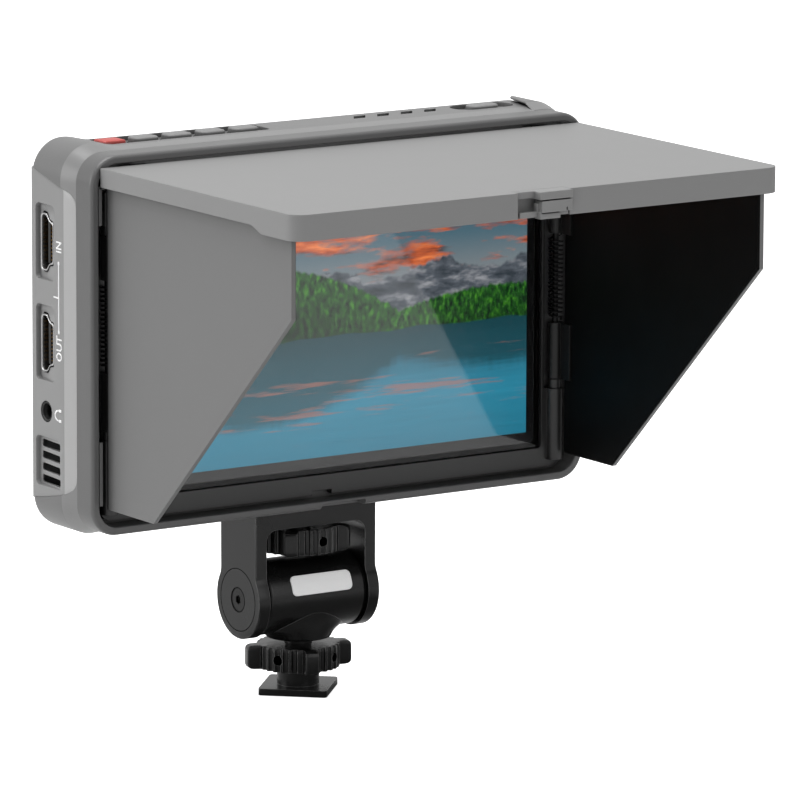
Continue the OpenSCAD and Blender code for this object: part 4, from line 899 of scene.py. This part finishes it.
picture = {"corner": (14.3, 0, 12.5), "wide": 0.1218, "high": 0.0685, "shore": 0.455, "hillFoot": 0.44, "mirror": 0.90,
    "hills": [(0.30, 0.42, 0.27), (0.93, 0.36, 0.12)]}  # middle, half width and rise of each hill

def displayPicture():
    # a made-up evening bay: glowing clouds, two rounded wooded hills, still water with streaks of their colour
    mat, tree, shade = newMaterial("displayPicture",
        {"Base Color": (0.01, 0.01, 0.012, 1), "Roughness": 0.3, "Emission Strength": 1.0})
    m = lambda operation, a, b=None, clamp=False: mathNode(tree, operation, a, b, clamp)
    split = put(tree, "SeparateXYZ", [(put(tree, "TexCoord").outputs["Object"], 0)]).outputs
    low = bezelLow + np.array(picture["corner"]) / 1000
    u = m("DIVIDE", m("SUBTRACT", split[0], float(low[0])), picture["wide"])
    v = m("DIVIDE", m("SUBTRACT", split[2], float(low[2])), picture["high"])

    def noise(su, sv, detail, shift=0.0):
        place = put(tree, "CombineXYZ", [(m("MULTIPLY", u, su), 0), (m("MULTIPLY", v, sv), 1)])
        place.inputs[2].default_value = shift
        return put(tree, "TexNoise", [(place.outputs[0], "Vector")], Scale=1.0, Detail=detail, Roughness=0.6).outputs[0]

    def waver(amount, size):
        # the noise about its middle, to the given size
        return m("MULTIPLY", m("SUBTRACT", amount, 0.5), size)

    def ramp(value, stops):
        node = put(tree, "ValToRGB", [(value, 0)])
        for i, (place, color) in enumerate(stops):
            e = node.color_ramp.elements[i] if i < 2 else node.color_ramp.elements.new(place)
            e.position, e.color = place, tuple(color) + (1,)
        return node.outputs[0]

    def above(value, edge, soft):
        return m("ADD", m("DIVIDE", m("SUBTRACT", value, edge), soft), 0.5, True)

    def level(middle, steep):
        # 1 at a height in the picture, falling to 0 on both sides
        return m("SUBTRACT", 1.0, m("MULTIPLY", m("ABSOLUTE", m("SUBTRACT", v, middle)), steep), True)

    def hump(middle, half, rise):
        # rise * (1 - (distance / half width) ^ 2)
        share = m("DIVIDE", m("ABSOLUTE", m("SUBTRACT", u, middle)), half)
        return m("MULTIPLY", m("SUBTRACT", 1.0, m("POWER", share, 2.0), True), rise)

    shore = m("ADD", picture["shore"], waver(noise(5, 0, 2, 3.1), 0.05))
    sky = ramp(v, [(0.45, (0.16, 0.19, 0.20)), (1.0, (0.02, 0.075, 0.12)), (0.62, (0.22, 0.24, 0.25)),
        (0.8, (0.07, 0.14, 0.18))])
    lit = above(m("ADD", noise(4.5, 11, 7, 0.4), m("MULTIPLY", level(0.86, 4.2), 0.26)), 0.66, 0.1)
    glow = ramp(noise(9, 24, 6, 1.7),
        [(0.36, (0.05, 0.02, 0.018)), (0.66, (0.85, 0.24, 0.07)), (0.5, (0.52, 0.10, 0.03))])
    sky = mixColors(tree, lit, sky, glow)
    # a far ridge with pale streaks, then the near hills: a wide one on the left and a low one on the right
    ridge = m("ADD", 0.69, waver(noise(3.6, 0, 6, 7.7), 0.42))
    rock = ramp(noise(16, 22, 6, 2.2),
        [(0.38, (0.03, 0.04, 0.05)), (0.68, (0.30, 0.31, 0.33)), (0.52, (0.085, 0.10, 0.12))])
    land = mixColors(tree, above(v, ridge, 0.012), rock, sky)
    humps = m("MAXIMUM", *[hump(*hill) for hill in picture["hills"]])
    hill = m("ADD", m("ADD", picture["hillFoot"], humps), m("MULTIPLY", noise(60, 0, 3, 5.0), 0.05))
    wood = ramp(noise(95, 26, 6, 9.0),
        [(0.36, (0.001, 0.008, 0.005)), (0.70, (0.06, 0.25, 0.02)), (0.52, (0.012, 0.075, 0.012))])
    light = ramp(m("SUBTRACT", hill, v), [(0.0, (1.25, 1.25, 1.0)), (0.22, (0.28, 0.42, 0.42))])
    land = mixColors(tree, above(v, hill, 0.012), mixColors(tree, 1.0, wood, light, "MULTIPLY"), land)
    # water: the hills' dark shape and the clouds' streaks laid in by stretched noise
    water = ramp(v, [(0.0, (0.012, 0.17, 0.26)), (0.46, (0.012, 0.08, 0.115)), (0.2, (0.022, 0.22, 0.33)),
        (0.34, (0.022, 0.15, 0.22))])
    mirrored = m("ADD", hill, m("MULTIPLY", noise(8, 60, 3, 6.0), 0.06))
    dark = m("SUBTRACT", 1.0, above(m("SUBTRACT", picture["mirror"], v), mirrored, 0.05), True)
    water = mixColors(tree, m("MULTIPLY", dark, 0.72), water, (0.004, 0.035, 0.04, 1))
    streak = above(m("ADD", noise(5, 46, 5, 4.4), m("MULTIPLY", level(0.22, 7.0), 0.16)), 0.70, 0.09)
    water = mixColors(tree, m("MULTIPLY", streak, 0.6), water, (0.36, 0.14, 0.10, 1))
    water = mixColors(tree, 1.0, water, m("ADD", waver(noise(5, 55, 2, 8.0), 0.35), 1.0), "MULTIPLY")
    scene = mixColors(tree, above(v, shore, 0.006), water, land)
    within = [m("MULTIPLY", m("GREATER_THAN", c, 0.0), m("LESS_THAN", c, 1.0)) for c in (u, v)]
    tree.links.new(mixColors(tree, m("MULTIPLY", *within), (0, 0, 0, 1), scene), shade.inputs["Emission Color"])
    return mat

materials["displayPicture"] = displayPicture()
wear("display_panel", "displayPicture")
print("stage: display picture")
